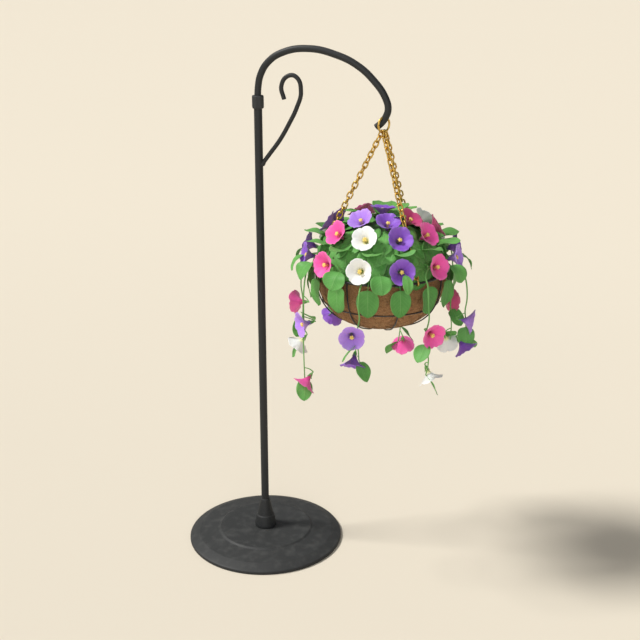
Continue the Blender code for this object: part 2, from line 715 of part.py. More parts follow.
def bloom_ring(prefix, tree, ring):
    """Blooms spaced evenly round the basket, but clear of the chains."""
    first, radius, height, tilt, colours = ring
    for i, colour in enumerate(colours):
        angle = beside_chains(first + 360.0 * i / len(colours), 11.0)
        seated_bloom(f"{prefix}_{i + 1:02d}", tree, angle, radius, height, tilt, colour)


def mound_blooms(tree):
    bloom_ring("bloom_low", tree, LOWER_RING)
    bloom_ring("bloom_mid", tree, UPPER_RING)
    for i, (angle, radius, height, tilt, colour) in enumerate(TOP_BLOOMS):
        seated_bloom(f"bloom_top_{i + 1}", tree, angle, radius, height, tilt, colour)


def hanging_leaf(name, root, angle, tilt, leaf):
    """A pointed leaf on a short stalk that droops from a trailing stem."""
    out = heading(angle, tilt)
    across = heading(angle + 90.0)
    up = across.cross(out) * -1.0
    bm = bmesh.new()
    loops = []
    for reach, width in TRAIL_LEAF:
        centre = root + out * reach
        loops.append([bm.verts.new(centre + across * (width * u) + up * (LEAF_THICKNESS * v))
                      for u, v in ((-0.5, -0.5), (0.5, -0.5), (0.5, 0.5), (-0.5, 0.5))])
    for low, high in zip(loops, loops[1:]):
        for i in range(4):
            k = (i + 1) % 4
            bm.faces.new((low[i], low[k], high[k], high[i]))
    bm.faces.new(loops[0][::-1])
    bm.faces.new(loops[-1])
    bmesh.ops.recalc_face_normals(bm, faces=bm.faces)
    mesh = bpy.data.meshes.new(name)
    bm.to_mesh(mesh)
    bm.free()
    return place(name, mesh, leaf)


def trail_points(index, tree):
    """A shoot's stem: from its foot on the foliage, over the rim and down."""
    angle, tip = SHOOTS[index][:2]
    rise = HIGH_RISE * (index % 2)
    root = beside_chains(angle, 11.0)
    foot = seat(tree, polar(root, 0.200, 0.8855 + rise), heading(root), STEM_RADIUS)
    points = [foot, foot + heading(root) * 0.004]
    for turn, (distance, height, share) in zip(((root + angle) / 2, angle, angle), ARCH):
        points.append(polar(turn, distance, height + rise * share))
    points.append(polar(angle, TRAIL_RADIUS, TRAIL_TOP))
    for i in range(1, TRAIL_STEPS + 1):
        height = TRAIL_TOP + (tip - TRAIL_TOP) * i / TRAIL_STEPS
        turn = angle + math.sin(1.7 * i + index)
        points.append(polar(turn, TRAIL_RADIUS + 0.002 * math.sin(2.1 * i), height))
    return points


def stem_point(points, height):
    """The stem's centre at a height on its hanging stretch."""
    hanging = points[-TRAIL_STEPS - 1:]
    for above, below in zip(hanging, hanging[1:]):
        if below.z <= height:
            share = (above.z - height) / (above.z - below.z)
            return above.lerp(below, share)
    return hanging[-1].copy()


def trailing_bloom(name, points, angle, place_on_stem, leaf):
    """A bloom beside the stem, and the stalk that leaves the stem and bends into its foot."""
    height, turn, tilt, side, colour = place_on_stem
    direction = heading(angle + turn, tilt)
    aside = heading(angle + turn + 90.0 * side) * TRAIL_BLOOM_ASIDE
    behind = TRAIL_BLOOM_LENGTH - TRAIL_BLOOM_AHEAD
    foot = stem_point(points, height) + aside - direction * behind
    start = stem_point(points, foot.z + PEDICEL_DROP)
    middle = start.lerp(foot, 0.5) - direction * 0.010
    line = [start, start.lerp(middle, 0.5), middle, foot - direction * 0.004,
            foot + direction * 0.004]
    stalk = rod(f"{name}_stalk", line, STALK_RADIUS, leaf)
    return [stalk, bloom(name, foot, direction, TRAIL_BLOOM_LENGTH, colour)]


def shoot(index, tree, leaf):
    """A trailing stem that arches over the rim, with its blooms and leaves."""
    angle, _, blooms, leaves = SHOOTS[index]
    name = f"shoot_{index + 1}"
    points = trail_points(index, tree)
    stem = rod(name, points, STEM_RADIUS, leaf)
    pieces = []
    for i, place_on_stem in enumerate(blooms):
        pieces += trailing_bloom(f"{name}_bloom_{i}", points, angle, place_on_stem, leaf)
    for i, (height, turn, tilt) in enumerate(leaves):
        root = stem_point(points, height) - heading(angle + turn, tilt) * 0.001
        pieces.append(hanging_leaf(f"{name}_leaf_{i}", root, angle + turn, tilt, leaf))
    join(stem, pieces)


def core_tree():
    """Search tree of the finished foliage, to seat blooms and stems on."""
    mesh = bpy.data.objects["foliage"].data
    return BVHTree.FromPolygons([v.co for v in mesh.vertices], [p.vertices for p in mesh.polygons])


# ---------------------------------------------------------------- build
def build():
    steel = material("black_wire", (0.022, 0.022, 0.024), 0.45, 0.3)
    brass = material("brass", (0.50, 0.33, 0.07), 0.35, 1.0)
    coir = material("coir", (0.20, 0.10, 0.045), 0.95)
    earth = material("soil", (0.045, 0.030, 0.020), 0.95)
    leaf = material("leaf_green", (0.10, 0.27, 0.07), 0.6)
    stand()
    standing = set(PART.objects)
    for index in range(3):
        chain(index, brass)
    wire_basket(steel)
    liner(coir)
    soil(earth)
    foliage(leaf)
    tree = core_tree()
    mound_blooms(tree)
    for index in range(len(SHOOTS)):
        shoot(index, tree, leaf)
    hung = [ob for ob in PART.objects if ob not in standing]
    pivot = bpy.data.objects.new("basket_swing", None)
    pivot.location = SWING_PIVOT
    PART.objects.link(pivot)
    hang_from(pivot, hung)


clear_scene()
PART = new_collection("petunia_hanging_basket")
CUTTERS = new_collection("cutters")
build()
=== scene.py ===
"""Looks of the petunia hanging basket on its crook stand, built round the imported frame.

Metres, +Z up, in the frame's own axes.  Angles round the basket are in degrees about its
upright axis, from +X.
"""
import math
import random

import bpy
import numpy as np
from mathutils import Matrix, Vector, noise


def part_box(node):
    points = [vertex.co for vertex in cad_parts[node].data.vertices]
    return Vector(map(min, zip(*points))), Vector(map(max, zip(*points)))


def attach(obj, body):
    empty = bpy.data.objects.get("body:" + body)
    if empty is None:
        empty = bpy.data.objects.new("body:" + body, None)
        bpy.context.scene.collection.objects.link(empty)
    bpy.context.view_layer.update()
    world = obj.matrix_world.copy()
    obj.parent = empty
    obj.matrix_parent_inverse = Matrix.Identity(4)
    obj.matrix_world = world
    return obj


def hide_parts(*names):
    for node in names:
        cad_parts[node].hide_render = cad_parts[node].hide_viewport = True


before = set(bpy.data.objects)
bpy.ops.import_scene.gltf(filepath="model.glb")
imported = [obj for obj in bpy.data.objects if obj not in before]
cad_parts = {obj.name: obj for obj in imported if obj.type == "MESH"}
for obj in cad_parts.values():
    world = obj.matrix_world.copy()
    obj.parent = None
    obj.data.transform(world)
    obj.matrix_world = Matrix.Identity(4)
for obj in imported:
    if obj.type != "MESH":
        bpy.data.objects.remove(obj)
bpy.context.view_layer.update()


# ---- sizes taken from the frame
def extent(node):
    """The lowest and highest corner of a CAD node, to a hundredth of a millimetre."""
    return [[round(c, 5) for c in corner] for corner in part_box(node)]


def wire_ring(node):
    """Centre, radius and wire radius of a level ring of wire."""
    low, high = extent(node)
    wire = (high[2] - low[2]) / 2
    return [(a + b) / 2 for a, b in zip(low, high)], high[1] - wire, wire


(BASKET_X, _, RIM_Z), RIM_RADIUS, RIM_WIRE = wire_ring("rim_ring")
(_, _, HOOP_Z), _, HOOP_WIRE = wire_ring("mid_hoop")
BASE_RADIUS, _, BASE_TOP = extent("base_plate")[1]
HUB_RADIUS, _, HUB_TOP = extent("base_hub")[1]
POLE_RADIUS, _, POLE_TOP = extent("pole")[1]
COLLAR_RADIUS, _, COLLAR_TOP = extent("collar")[1]
COLLAR_BOTTOM = extent("collar")[0][2]
LINER_TOP = extent("coir_liner")[1][2]
LINER_DEPTH = RIM_Z - extent("coir_liner")[0][2]
SOIL_TOP = extent("potting_soil")[1][2]
RING_Z = sum(corner[2] for corner in extent("hanging_ring")) / 2

# ---- sizes shared with the part
GAP = 0.0003  # between pieces that touch
BOWL_DEPTH = 0.164
BOWL_POWER = 2.4  # a little fuller than a half sphere
HOOP_DEPTH = RIM_Z - HOOP_Z
RIB_WIRE = 0.0018
RIB_COUNT = 8
RIB_START = -15.0
FOOT_WIRE = 0.0020
FOOT_RADIUS = 0.030
LINER_RADIUS = 0.1722
LINER_WALL = 0.009
PLATEAU_RADIUS = 0.137
PAD_RADIUS = 0.045
CROOK_RADIUS = 0.009
SCROLL_RADIUS = 0.0058
BORE = POLE_RADIUS + GAP  # inside of the pieces that the pole stands in
# Centre lines of the two bent bars, as (X, Z) knots from the pole to the free end.
CROOK_LINE = (
    (0.0, 1.215), (0.0, 1.300), (0.0012, 1.326), (0.0095, 1.361), (0.030, 1.392),
    (0.070, 1.4175), (0.140, 1.4290), (0.212, 1.4160), (0.268, 1.3915), (0.312, 1.3550),
    (0.3430, 1.3130), (0.3505, 1.2850), (0.3440, 1.2640), (0.3350, 1.2510), (0.3200, 1.2375),
)
SCROLL_LINE = (
    (0.0040, 1.1177), (0.0283, 1.1499), (0.0601, 1.1923), (0.0855, 1.2355), (0.1068, 1.2779),
    (0.1186, 1.3195), (0.1063, 1.3564), (0.0843, 1.3586), (0.0656, 1.3330), (0.0727, 1.2978),
)

RING_MAJOR = 0.01925
RING_WIRE = 0.00275
RING_TURN = -32.0  # heading of the ring's own axis
CHAIN_ANGLES = (-45.0, 73.0, 195.0)
CHAIN_SPACING = 0.0060  # between the chain ends on the ring
CHAIN_SLOTS = (0, 1, -1)  # order of the chain ends along the ring's wire
LINK_PITCH = 0.0155

TRAIL_RADIUS = 0.232  # from the basket's axis to a hanging stem
TRAIL_TOP = 0.830
TRAIL_STEPS = 5
HIGH_RISE = 0.026  # every second shoot arches higher over the rim

# ---- sizes of the looks alone
SOCKET_RADIUS = 0.0014  # of the two grub screws
SOCKET_DEPTH = 0.0018
BAR_STEPS = 12  # between two knots of a bent bar
LINK_WIRE = 0.0021
LINK_WIDTH = 0.0172
LINK_SWAY = 7.0  # degrees a link is turned from its even place, at most
STRAND_COUNT = 4600  # loose coir fibres over the liner
STRAND_LENGTH = (0.010, 0.026)
STRAND_RADIUS = (0.00014, 0.00028)

MOUND_RADIUS = 0.166  # where the mound's leaves are rooted
MOUND_FOOT = RIM_Z + 0.012
MOUND_HEIGHT = 0.119
MOUND_LEAVES = 215
MOUND_LEAF = (0.062, 0.080)  # shortest and longest leaf of the mound
LEAF_THICKNESS = 0.00045
LEAF_STEPS = 24  # along a single leaf
PETAL_THICKNESS = 0.00035
BLOOM_RADIUS = 0.0335
BLOOM_TUBE = 0.036  # length of a bloom's tube behind its face
# A bloom's outline from the foot of its tube to its lip; the face is at height 0.
LIMB_LINE = ((0.0026, -BLOOM_TUBE), (0.0033, -0.0300), (0.0046, -0.0240), (0.0072, -0.0175),
             (0.0112, -0.0118), (0.0165, -0.0068), (0.0225, -0.0022), (0.0285, 0.0016),
             (BLOOM_RADIUS, 0.0040))
BLOOM_AHEAD = 0.014  # from a trailing stem forward to the face of a bloom on it
BLOOM_ASIDE = 0.0130  # from the stem sideways to the bloom's own axis
BLOOM_MARGIN = 11.0  # degrees kept between a chain and a bloom or a shoot's root
STEM_RADIUS = 0.0020
# A shoot's way over the rim: distance, height, share of the rise, share of the turn from its
# root to its own angle.
ARCH = ((0.150, 0.8855, 1.0, 0.0), (0.172, 0.8855, 1.0, 0.0), (0.196, 0.8820, 1.15, 0.5),
        (0.214, 0.8740, 1.0, 1.0), (0.226, 0.8580, 0.7, 1.0), (TRAIL_RADIUS, TRAIL_TOP, 0.0, 1.0))

# ---- planting plan
# A ring of blooms: first angle, distance from the axis, height, tilt of the faces, colours.
LOWER_RING = (-91.5, 0.206, 0.914, 14.0,
              ("white", "purple", "pink", "lilac", "purple", "white",
               "purple", "pink", "white", "purple", "purple", "pink"))
UPPER_RING = (-93.5, 0.146, 0.982, 36.0,
              ("white", "purple", "pink", "crimson", "white", "white",
               "pink", "purple", "purple", "pink"))
# One bloom on the crown: angle, distance from the axis, height, tilt, colour.
TOP_BLOOMS = (
    (-120.0, 0.081, 1.012, 58.0, "lilac"),
    (-64.0, 0.076, 1.010, 68.0, "purple"),
    (-7.0, 0.082, 1.009, 55.0, "crimson"),
    (95.0, 0.016, 1.025, 81.0, "purple"),
    (158.0, 0.074, 1.010, 59.0, "crimson"),
)
# A row of leaves.  Its path is (distance, height); stalk is the share of the path before the
# blade, light the tint, margin the degrees kept from a chain, sway the turn along the leaf.
# The rows' tints rise with their height: painted light, the crown painted lighter as lit and
# the leaves under the rim painted darker as shade; the random spread per leaf is their own.
LEAF_ROWS = {
    "rim": dict(
        angles=(-101.0, -76.0, -50.0, -22.0, 8.0, 36.0, 62.0, 98.0, 120.0, 147.0, 187.0, 204.0,
                229.0),
        path=((0.150, 0.888), (0.180, 0.903), (0.206, 0.907), (0.226, 0.897), (0.235, 0.881),
              (0.239, 0.866)),
        stalk=0.40, width=0.057, light=0.48, margin=7.0, sway=4.0),
    "hanging": dict(
        angles=[-86.0 + 24.0 * i for i in range(15)],
        path=((0.160, 0.876), (0.180, 0.8775), (0.1905, 0.8700), (0.1945, 0.8520),
              (0.1935, 0.8200), (0.1880, 0.7880)),
        stalk=0.50, width=0.056, light=0.36, margin=5.0, sway=2.5),
    "mid": dict(
        angles=[-113.0 + 360.0 / 13 * i for i in range(13)],
        path=((0.132, 0.938), (0.158, 0.948), (0.184, 0.955), (0.210, 0.957)),
        stalk=0.18, width=0.053, light=0.66, margin=9.0, sway=4.0),
    "crown": dict(
        angles=(-156.0, -34.0, 32.0, 60.0, 88.0, 122.0, 190.0),
        path=((0.030, 0.990), (0.048, 1.008), (0.072, 1.021), (0.098, 1.025)),
        stalk=0.22, width=0.046, light=0.95, margin=9.0, sway=5.0),
}
# One trailing shoot: angle, height of its tip, its blooms and its leaves.
# A bloom is (height, turn from outward, tilt, side of the stem it is on, colour).
# A leaf is (height, turn, tilt, roll about its own midrib).
SHOOTS = (
    (-90.0, 0.688, ((0.754, 17.0, -4.0, -1, "lilac"), (0.669, -3.0, -60.0, -1, "purple")),
     ((0.735, -45.0, -40.0, 30.0), (0.690, 57.0, -54.0, 0.0))),
    (-45.0, 0.640, ((0.751, 1.0, -7.0, 1, "pink"), (0.626, 21.0, -61.0, 1, "white")),
     ((0.730, -61.0, -38.0, 0.0), (0.642, 35.0, -52.0, -30.0))),
    (0.0, 0.678, ((0.744, 13.0, -11.0, -1, "lilac"), (0.659, -8.0, -50.0, -1, "purple")),
     ((0.728, -73.0, -66.0, 0.0), (0.705, 60.0, -49.0, 10.0))),
    (45.0, 0.622, ((0.732, 8.0, -8.0, 1, "crimson"), (0.603, 30.0, -56.0, 1, "white")),
     ((0.715, -75.0, -42.0, 15.0), (0.650, 70.0, -50.0, 0.0))),
    (90.0, 0.574, ((0.690, 10.0, -8.0, -1, "purple"), (0.555, 8.0, -56.0, -1, "pink")),
     ((0.620, -70.0, -45.0, 0.0), (0.576, 75.0, -48.0, 20.0))),
    (135.0, 0.672, ((0.735, -12.0, -6.0, 1, "white"), (0.652, 10.0, -52.0, 1, "purple")),
     ((0.705, 80.0, -45.0, 0.0), (0.712, -65.0, -50.0, -20.0))),
    (173.0, 0.628, ((0.742, -5.0, -8.0, 1, "pink"), (0.609, 11.0, -52.0, 1, "white")),
     ((0.690, 91.0, -40.0, -44.0), (0.630, 31.0, -58.0, 0.0))),
    (225.0, 0.592, ((0.750, -2.0, -5.0, 1, "lilac"), (0.573, 2.0, -49.0, 1, "pink")),
     ((0.775, -145.0, -25.0, 10.0), (0.594, 58.0, -66.0, 0.0))),
)

# ---- colours, camera and light
# Colours are linear: the petal itself, its throat and its veins.
PETALS = {
    "pink": ((0.92, 0.090, 0.420), (0.60, 0.030, 0.21), (0.74, 0.055, 0.29)),
    "purple": ((0.260, 0.080, 0.600), (0.12, 0.03, 0.30), (0.18, 0.045, 0.44)),
    "lilac": ((0.480, 0.240, 0.850), (0.24, 0.10, 0.50), (0.36, 0.15, 0.70)),
    "white": ((0.930, 0.930, 0.915), (0.84, 0.82, 0.40), (0.82, 0.83, 0.79)),
    "crimson": ((0.620, 0.050, 0.200), (0.30, 0.015, 0.08), (0.46, 0.03, 0.13)),
}
FLOOR_COLOUR = (0.822, 0.747, 0.617)
FLOOR_REACH = 40.0  # from its middle to its sides
LEAF_GREENS = ((0.056, 0.225, 0.044), (0.190, 0.500, 0.118))
# Painted shade: darker copies of the leaf greens, for the heart under the mound's leaves.
SHADE_GREENS = ((0.020, 0.085, 0.016), (0.045, 0.170, 0.035))

# The three marks of a vertex: its place across and along a leaf, and its tint.
PLAIN = (0.0, 0.0, 0.5)
STALK = (0.0, 0.3, 0.5)
UP = np.array((0.0, 0.0, 1.0))

CAMERA_TARGET = Vector((0.170, 0.0, 0.700))
CAMERA_AZIMUTH = 17.0
CAMERA_PITCH = 19.57
CAMERA_DISTANCE = 3.070
CAMERA_LENS = 62.72
# A distant light: where it travels to seen from above, its elevation, spread, strength, colour.
KEY_LIGHT = (19.5, 50.5, 15.0, 3.16, (1.0, 0.985, 0.96))
FILL_LIGHT = (100.0, 12.0, 60.0, 1.45, (1.0, 1.0, 1.0))
SKY_STRENGTH = 0.23


# ---- directions
def heading(angle, tilt=0.0):
    """A unit direction; tilt is its elevation."""
    a = math.radians(angle)
    e = math.radians(tilt)
    return np.array((math.cos(a) * math.cos(e), math.sin(a) * math.cos(e), math.sin(e)))


RING_ACROSS = heading(RING_TURN + 90.0)


def on_axis(height):
    """A point on the basket's upright axis."""
    return np.array((BASKET_X, 0.0, height))


def polar(angle, radius, height):
    """A point round the basket's axis."""
    return on_axis(height) + heading(angle) * radius


def unit(vector):
    return vector / np.maximum(np.linalg.norm(vector, axis=-1, keepdims=True), 1e-12)


def smoothstep(value):
    value = np.clip(value, 0.0, 1.0)
    return value * value * (3.0 - 2.0 * value)


def beside_chains(angle, margin):
    """The angle itself, or moved until it is margin degrees from the nearest chain."""
    for other in CHAIN_ANGLES:
        away = (angle - other + 180.0) % 360.0 - 180.0
        if abs(away) < margin:
            return other + math.copysign(margin, away)
    return angle


def smooth_path(knots, count):
    """count points along a smooth curve through the knots."""
    knots = np.asarray(knots, float)
    ends = np.vstack([2 * knots[0] - knots[1], knots, 2 * knots[-1] - knots[-2]])
    spots = np.linspace(0.0, len(knots) - 1.000001, count)
    index = spots.astype(int)
    t = (spots - index)[:, None]
    p0, p1, p2, p3 = (ends[index + i] for i in range(4))
    return 0.5 * (2 * p1 + (p2 - p0) * t + (2 * p0 - 5 * p1 + 4 * p2 - p3) * t ** 2
                  + (3 * p1 - p0 - 3 * p2 + p3) * t ** 3)


def bent_line(root, ahead, up, steps, count):
    """count points on a smooth line, through points so far ahead of a root and so far up."""
    return smooth_path([root + ahead * a + up * b for a, b in steps], count)


def rough(points, scale, seed=0.0):
    """Noise from -1 to 1 at each point."""
    return np.array([noise.noise(Vector(p) * scale + Vector((seed, 0.0, 0.0))) for p in points])


# ---- mesh building
class Shape:
    """The patches of one piece: vertices, faces, material numbers and marks.

    Marks are three numbers a vertex, which the materials read: for a leaf they are its
    place across and along the blade, and its tint.
    """

    def __init__(self):
        self.verts = []
        self.faces = []
        self.slots = []
        self.marks = []
        self.count = 0

    def add(self, verts, faces, slot=0, marks=PLAIN):
        verts = np.asarray(verts, float).reshape(-1, 3)
        marks = np.broadcast_to(np.asarray(marks, float).reshape(-1, 3), verts.shape)
        self.verts.append(verts)
        self.marks.append(marks)
        for block in faces:
            block = np.asarray(block, int) + self.count
            self.faces.extend(block.tolist())
            self.slots.extend([slot] * len(block))
        self.count += len(verts)


def grid_faces(rows, cols, wrap):
    """Quads of a grid; wrap joins the last column to the first."""
    i = np.arange(rows - 1)[:, None]
    j = np.arange(cols if wrap else cols - 1)[None, :]
    k = (j + 1) % cols
    corners = (i * cols + j, i * cols + k, (i + 1) * cols + k, (i + 1) * cols + j)
    return np.stack(corners, -1).reshape(-1, 4)


def grid_normals(points, wrap):
    """Unit normals of a grid: across its columns crossed with along its rows."""
    if wrap:
        across = np.roll(points, -1, 1) - np.roll(points, 1, 1)
    else:
        across = np.gradient(points, axis=1)
    return unit(np.cross(across, np.gradient(points, axis=0)))


def edge_loops(rows, cols, wrap):
    """Index loops round a grid's open edges, anticlockwise about its normals."""
    first = np.arange(cols)
    last = np.arange(cols) + (rows - 1) * cols
    if wrap:
        return [first, last[::-1]]
    right = np.arange(1, rows) * cols + cols - 1
    left = np.arange(1, rows - 1)[::-1] * cols
    return [np.concatenate([first, right, last[::-1][1:], left])]


def add_sheet(shape, points, thickness, slot=0, marks=PLAIN, wrap=False):
    """A thin closed skin: the grid, and a copy of it one thickness behind."""
    rows, cols = points.shape[:2]
    behind = points - grid_normals(points, wrap) * thickness
    count = rows * cols
    quads = grid_faces(rows, cols, wrap)
    faces = [quads, quads[:, ::-1] + count]
    for loop in edge_loops(rows, cols, wrap):
        after = np.roll(loop, -1)
        faces.append(np.stack([loop, loop + count, after + count, after], -1))
    marks = np.broadcast_to(np.asarray(marks, float), points.shape).reshape(-1, 3)
    verts = np.concatenate([points.reshape(-1, 3), behind.reshape(-1, 3)])
    shape.add(verts, faces, slot, np.concatenate([marks, marks]))


def square_to(axis, vector):
    """The unit part of a vector that is square to a unit axis."""
    return unit(vector - axis * axis.dot(vector))


def path_frames(path):
    """Two steady normals along a path."""
    tangents = unit(np.gradient(path, axis=0))
    start = UP if abs(tangents[0][2]) < 0.9 else heading(0.0)
    side = unit(np.cross(tangents[0], start))
    sides = []
    for tangent in tangents:
        side = square_to(tangent, side)
        sides.append(side)
    sides = np.array(sides)
    return sides, np.cross(tangents, sides)


def full_turn(count):
    """Evenly spaced angles round a circle, in radians."""
    return np.linspace(0.0, 2 * math.pi, count, endpoint=False)


def rod_points(path, first, second, radius, sides):
    """A circle of points round each point of a path, in the plane of two normals."""
    turn = full_turn(sides)[None, :, None]
    ring = first[:, None] * np.cos(turn) + second[:, None] * np.sin(turn)
    return (path[:, None] + ring * radius).reshape(-1, 3)


def add_tube(shape, path, radius, sides=8, slot=0, marks=PLAIN):
    """A round rod with closed ends; radius is one number, or one a point."""
    path = np.asarray(path, float)
    radius = np.broadcast_to(np.asarray(radius, float), len(path))[:, None, None]
    points = rod_points(path, *path_frames(path), radius, sides)
    count = len(path) * sides
    ends = np.array([path[0], path[-1]])
    j = np.arange(sides)
    k = (j + 1) % sides
    low = np.stack([k, j, np.full(sides, count)], -1)
    high = np.stack([count - sides + j, count - sides + k, np.full(sides, count + 1)], -1)
    faces = [grid_faces(len(path), sides, True), low, high]
    shape.add(np.concatenate([points, ends]), faces, slot, marks)


def add_loop(shape, path, normal, radius, sides=8, slot=0):
    """A round rod along a closed flat path; normal is the path's own."""
    path = np.asarray(path, float)
    tangents = unit(np.roll(path, -1, 0) - np.roll(path, 1, 0))
    out = unit(np.cross(tangents, normal))
    points = rod_points(path, out, np.asarray([normal], float), radius, sides)
    shape.add(points, [grid_faces(len(path) + 1, sides, True) % len(points)], slot)


def add_turned(shape, profile, steps, slot=0, matrix=None, marks=PLAIN):
    """A profile of (radius, height) points, from its top down, turned about Z."""
    turn = full_turn(steps)
    verts, rings = [], []
    for radius, height in profile:
        spots = steps if radius > 1e-7 else 1
        rings.append([len(verts) + j % spots for j in range(steps)])
        verts.extend((radius * math.cos(t), radius * math.sin(t), height) for t in turn[:spots])
    quads, triangles = [], []
    for high, low in zip(rings, rings[1:]):
        for j in range(steps):
            k = (j + 1) % steps
            face = list(dict.fromkeys((low[j], low[k], high[k], high[j])))
            (quads if len(face) == 4 else triangles).append(face)
    verts = np.array(verts)
    if matrix is not None:
        matrix = np.array(matrix)
        verts = verts @ matrix[:3, :3].T + matrix[:3, 3]
    shape.add(verts, [block for block in (quads, triangles) if block], slot, marks)


def rounded(profile, radius, steps=3):
    """The profile with each inner corner replaced by a small arc."""
    profile = [np.array(p, float) for p in profile]
    points = [profile[0]]
    for before, corner, after in zip(profile, profile[1:], profile[2:]):
        back, ahead = before - corner, after - corner
        reach = min(radius, 0.45 * np.linalg.norm(back), 0.45 * np.linalg.norm(ahead))
        start, end = corner + unit(back) * reach, corner + unit(ahead) * reach
        for t in np.linspace(0.0, 1.0, steps + 1):
            points.append((1 - t) ** 2 * start + 2 * t * (1 - t) * corner + t ** 2 * end)
    return points + [profile[-1]]


def new_object(name, data):
    ob = bpy.data.objects.new(name, data)
    bpy.context.scene.collection.objects.link(ob)
    return ob


def add_piece(name, shape, materials, nodes=(), body="basket", sharp=None, matrix=None):
    """Turn a shape into a piece that rides on a body and stands for CAD nodes."""
    mesh = bpy.data.meshes.new(name)
    mesh.from_pydata(np.concatenate(shape.verts).tolist(), [], shape.faces)
    mesh.polygons.foreach_set("material_index", shape.slots)
    marks = mesh.attributes.new("marks", "FLOAT_VECTOR", "POINT")
    marks.data.foreach_set("vector", np.concatenate(shape.marks).astype(np.float32).ravel())
    for material in materials:
        mesh.materials.append(material)
    mesh.shade_smooth()
    if sharp is not None:
        mesh.set_sharp_from_angle(angle=math.radians(sharp))
    ob = new_object(name, mesh)
    if matrix is not None:
        ob.matrix_world = matrix
    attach(ob, body)
    if nodes:
        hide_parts(*nodes)


# ---- materials
class Value:
    """What a socket gives; sums, differences and products of it are nodes too."""

    def __init__(self, nodes, socket):
        self.nodes = nodes
        self.socket = socket

    def __add__(self, other):
        return self.nodes.math("ADD", self, other)

    def __sub__(self, other):
        return self.nodes.math("SUBTRACT", self, other)

    def __mul__(self, other):
        return self.nodes.math("MULTIPLY", self, other)

    def __abs__(self):
        return self.nodes.math("ABSOLUTE", self)


class Nodes:
    """A material under construction, with short calls for the nodes used here."""

    def __init__(self, name, roughness, metallic=0.0, **inputs):
        self.material = bpy.data.materials.new(name)
        self.material.use_nodes = True
        self.tree = self.material.node_tree
        self.shader = self.tree.nodes["Principled BSDF"]
        self.shader.inputs["Roughness"].default_value = roughness
        self.shader.inputs["Metallic"].default_value = metallic
        for socket, value in inputs.items():
            self.shader.inputs[socket.replace("_", " ")].default_value = value

    def feed(self, socket, value):
        if isinstance(value, Value):
            self.tree.links.new(value.socket, socket)
        elif isinstance(value, tuple) and len(value) == 3 and socket.type == "RGBA":
            socket.default_value = (*value, 1.0)
        else:
            socket.default_value = value

    def node(self, kind, inputs=(), output=0, **settings):
        """One output of a new node; inputs pairs its input sockets with what feeds them."""
        node = self.tree.nodes.new("ShaderNode" + kind)
        for key, value in settings.items():
            setattr(node, key, value)
        for key, value in dict(inputs).items():
            self.feed(node.inputs[key], value)
        return Value(self, node.outputs[output])

    def place(self):
        """The point's place in the piece's own coordinates."""
        return self.node("TexCoord", output="Object")

    def axes(self, vector):
        return [self.node("SeparateXYZ", {0: vector}, axis) for axis in range(3)]

    def marks(self):
        """The three marks of the point."""
        return self.axes(self.node("Attribute", output="Vector", attribute_name="marks"))

    def noise(self, scale, detail=3.0, vector=None, distortion=0.0):
        inputs = dict(Vector=vector or self.place(), Scale=scale, Detail=detail,
                      Distortion=distortion)
        return self.node("TexNoise", inputs, "Fac")

    def math(self, operation, a, b=0.0):
        return self.node("Math", {0: a, 1: b}, operation=operation)

    def span(self, value, low, high):
        """0 at low and 1 at high, with soft ends."""
        inputs = {"Value": value, "From Min": low, "From Max": high}
        return self.node("MapRange", inputs, interpolation_type="SMOOTHSTEP")

    def mix(self, factor, a, b):
        """A colour between two; 6, 7 and output 2 are a Mix node's colour sockets."""
        return self.node("Mix", {0: factor, 6: a, 7: b}, 2, data_type="RGBA")

    def bump(self, height, distance):
        bump = self.node("Bump", dict(Height=height, Distance=distance))
        self.feed(self.shader.inputs["Normal"], bump)

    def colour(self, value):
        self.feed(self.shader.inputs["Base Color"], value)
        return self.material

    def roughness(self, low, high, factor):
        self.feed(self.shader.inputs["Roughness"], factor * (high - low) + low)


def black_paint(name, grain, depth, low, high, rubbed_and_glint):
    """Black paint over metal: grain, faint blotches, rubbed ridges with a painted glint on them,
    a film of dust, and up-facing faces lightened evenly as a painted highlight.

    Grain and depth are the fineness and height of its relief, low and high its roughness.
    """
    n = Nodes(name, low, Specular_IOR_Level=0.38)
    blotch = n.noise(14.0, 4.0)
    fine = n.noise(grain, 2.0)
    colour = n.mix(blotch, (0.010625, 0.0119, 0.01258), (0.019975, 0.021675, 0.022525))
    # Ridges are lightened: partly rubbed wear, partly a painted glint where the edges catch the
    # light.
    ridge = n.span(n.node("NewGeometry", output="Pointiness"), 0.53, 0.60)
    colour = n.mix(ridge * rubbed_and_glint, colour, (0.190, 0.192, 0.190))
    # Up-facing faces get speckled dust, and all of them are also lightened evenly: that even part is
    # a painted highlight on the tops.
    upward = n.span(n.axes(n.node("NewGeometry", output="Normal"))[2], 0.35, 1.0)
    dust = upward * n.span(n.noise(38.0, 5.0), 0.42, 0.75)
    colour = n.mix(dust * 0.20 + upward * 0.17, colour, (0.130, 0.130, 0.124))
    n.roughness(low, high, dust * 0.5 + blotch)
    n.bump(fine, depth)
    return n.colour(colour)


def dipped_wire():
    """Thick glossy coating on wire, with slight runs."""
    n = Nodes("wire_black", 0.34)
    n.bump(n.noise(210.0, 2.0), 0.00035)
    return n.colour(n.mix(n.noise(60.0), (0.014, 0.014, 0.015), (0.032, 0.031, 0.030)))


def brass():
    """Lacquered brass, a little tarnished in patches."""
    n = Nodes("brass", 0.27, 1.0)
    patch = n.span(n.noise(150.0, 4.0), 0.40, 0.72)
    n.roughness(0.34, 0.50, patch)
    n.bump(n.noise(900.0, 2.0), 0.00005)
    return n.colour(n.mix(patch, (0.72, 0.47, 0.115), (0.46, 0.27, 0.06)))


def screw_steel():
    """Plain steel with turning marks."""
    n = Nodes("screw_steel", 0.32, 1.0)
    n.bump(n.noise(2600.0, 1.0), 0.00004)
    return n.colour(n.mix(n.noise(300.0), (0.36, 0.36, 0.37), (0.24, 0.23, 0.22)))


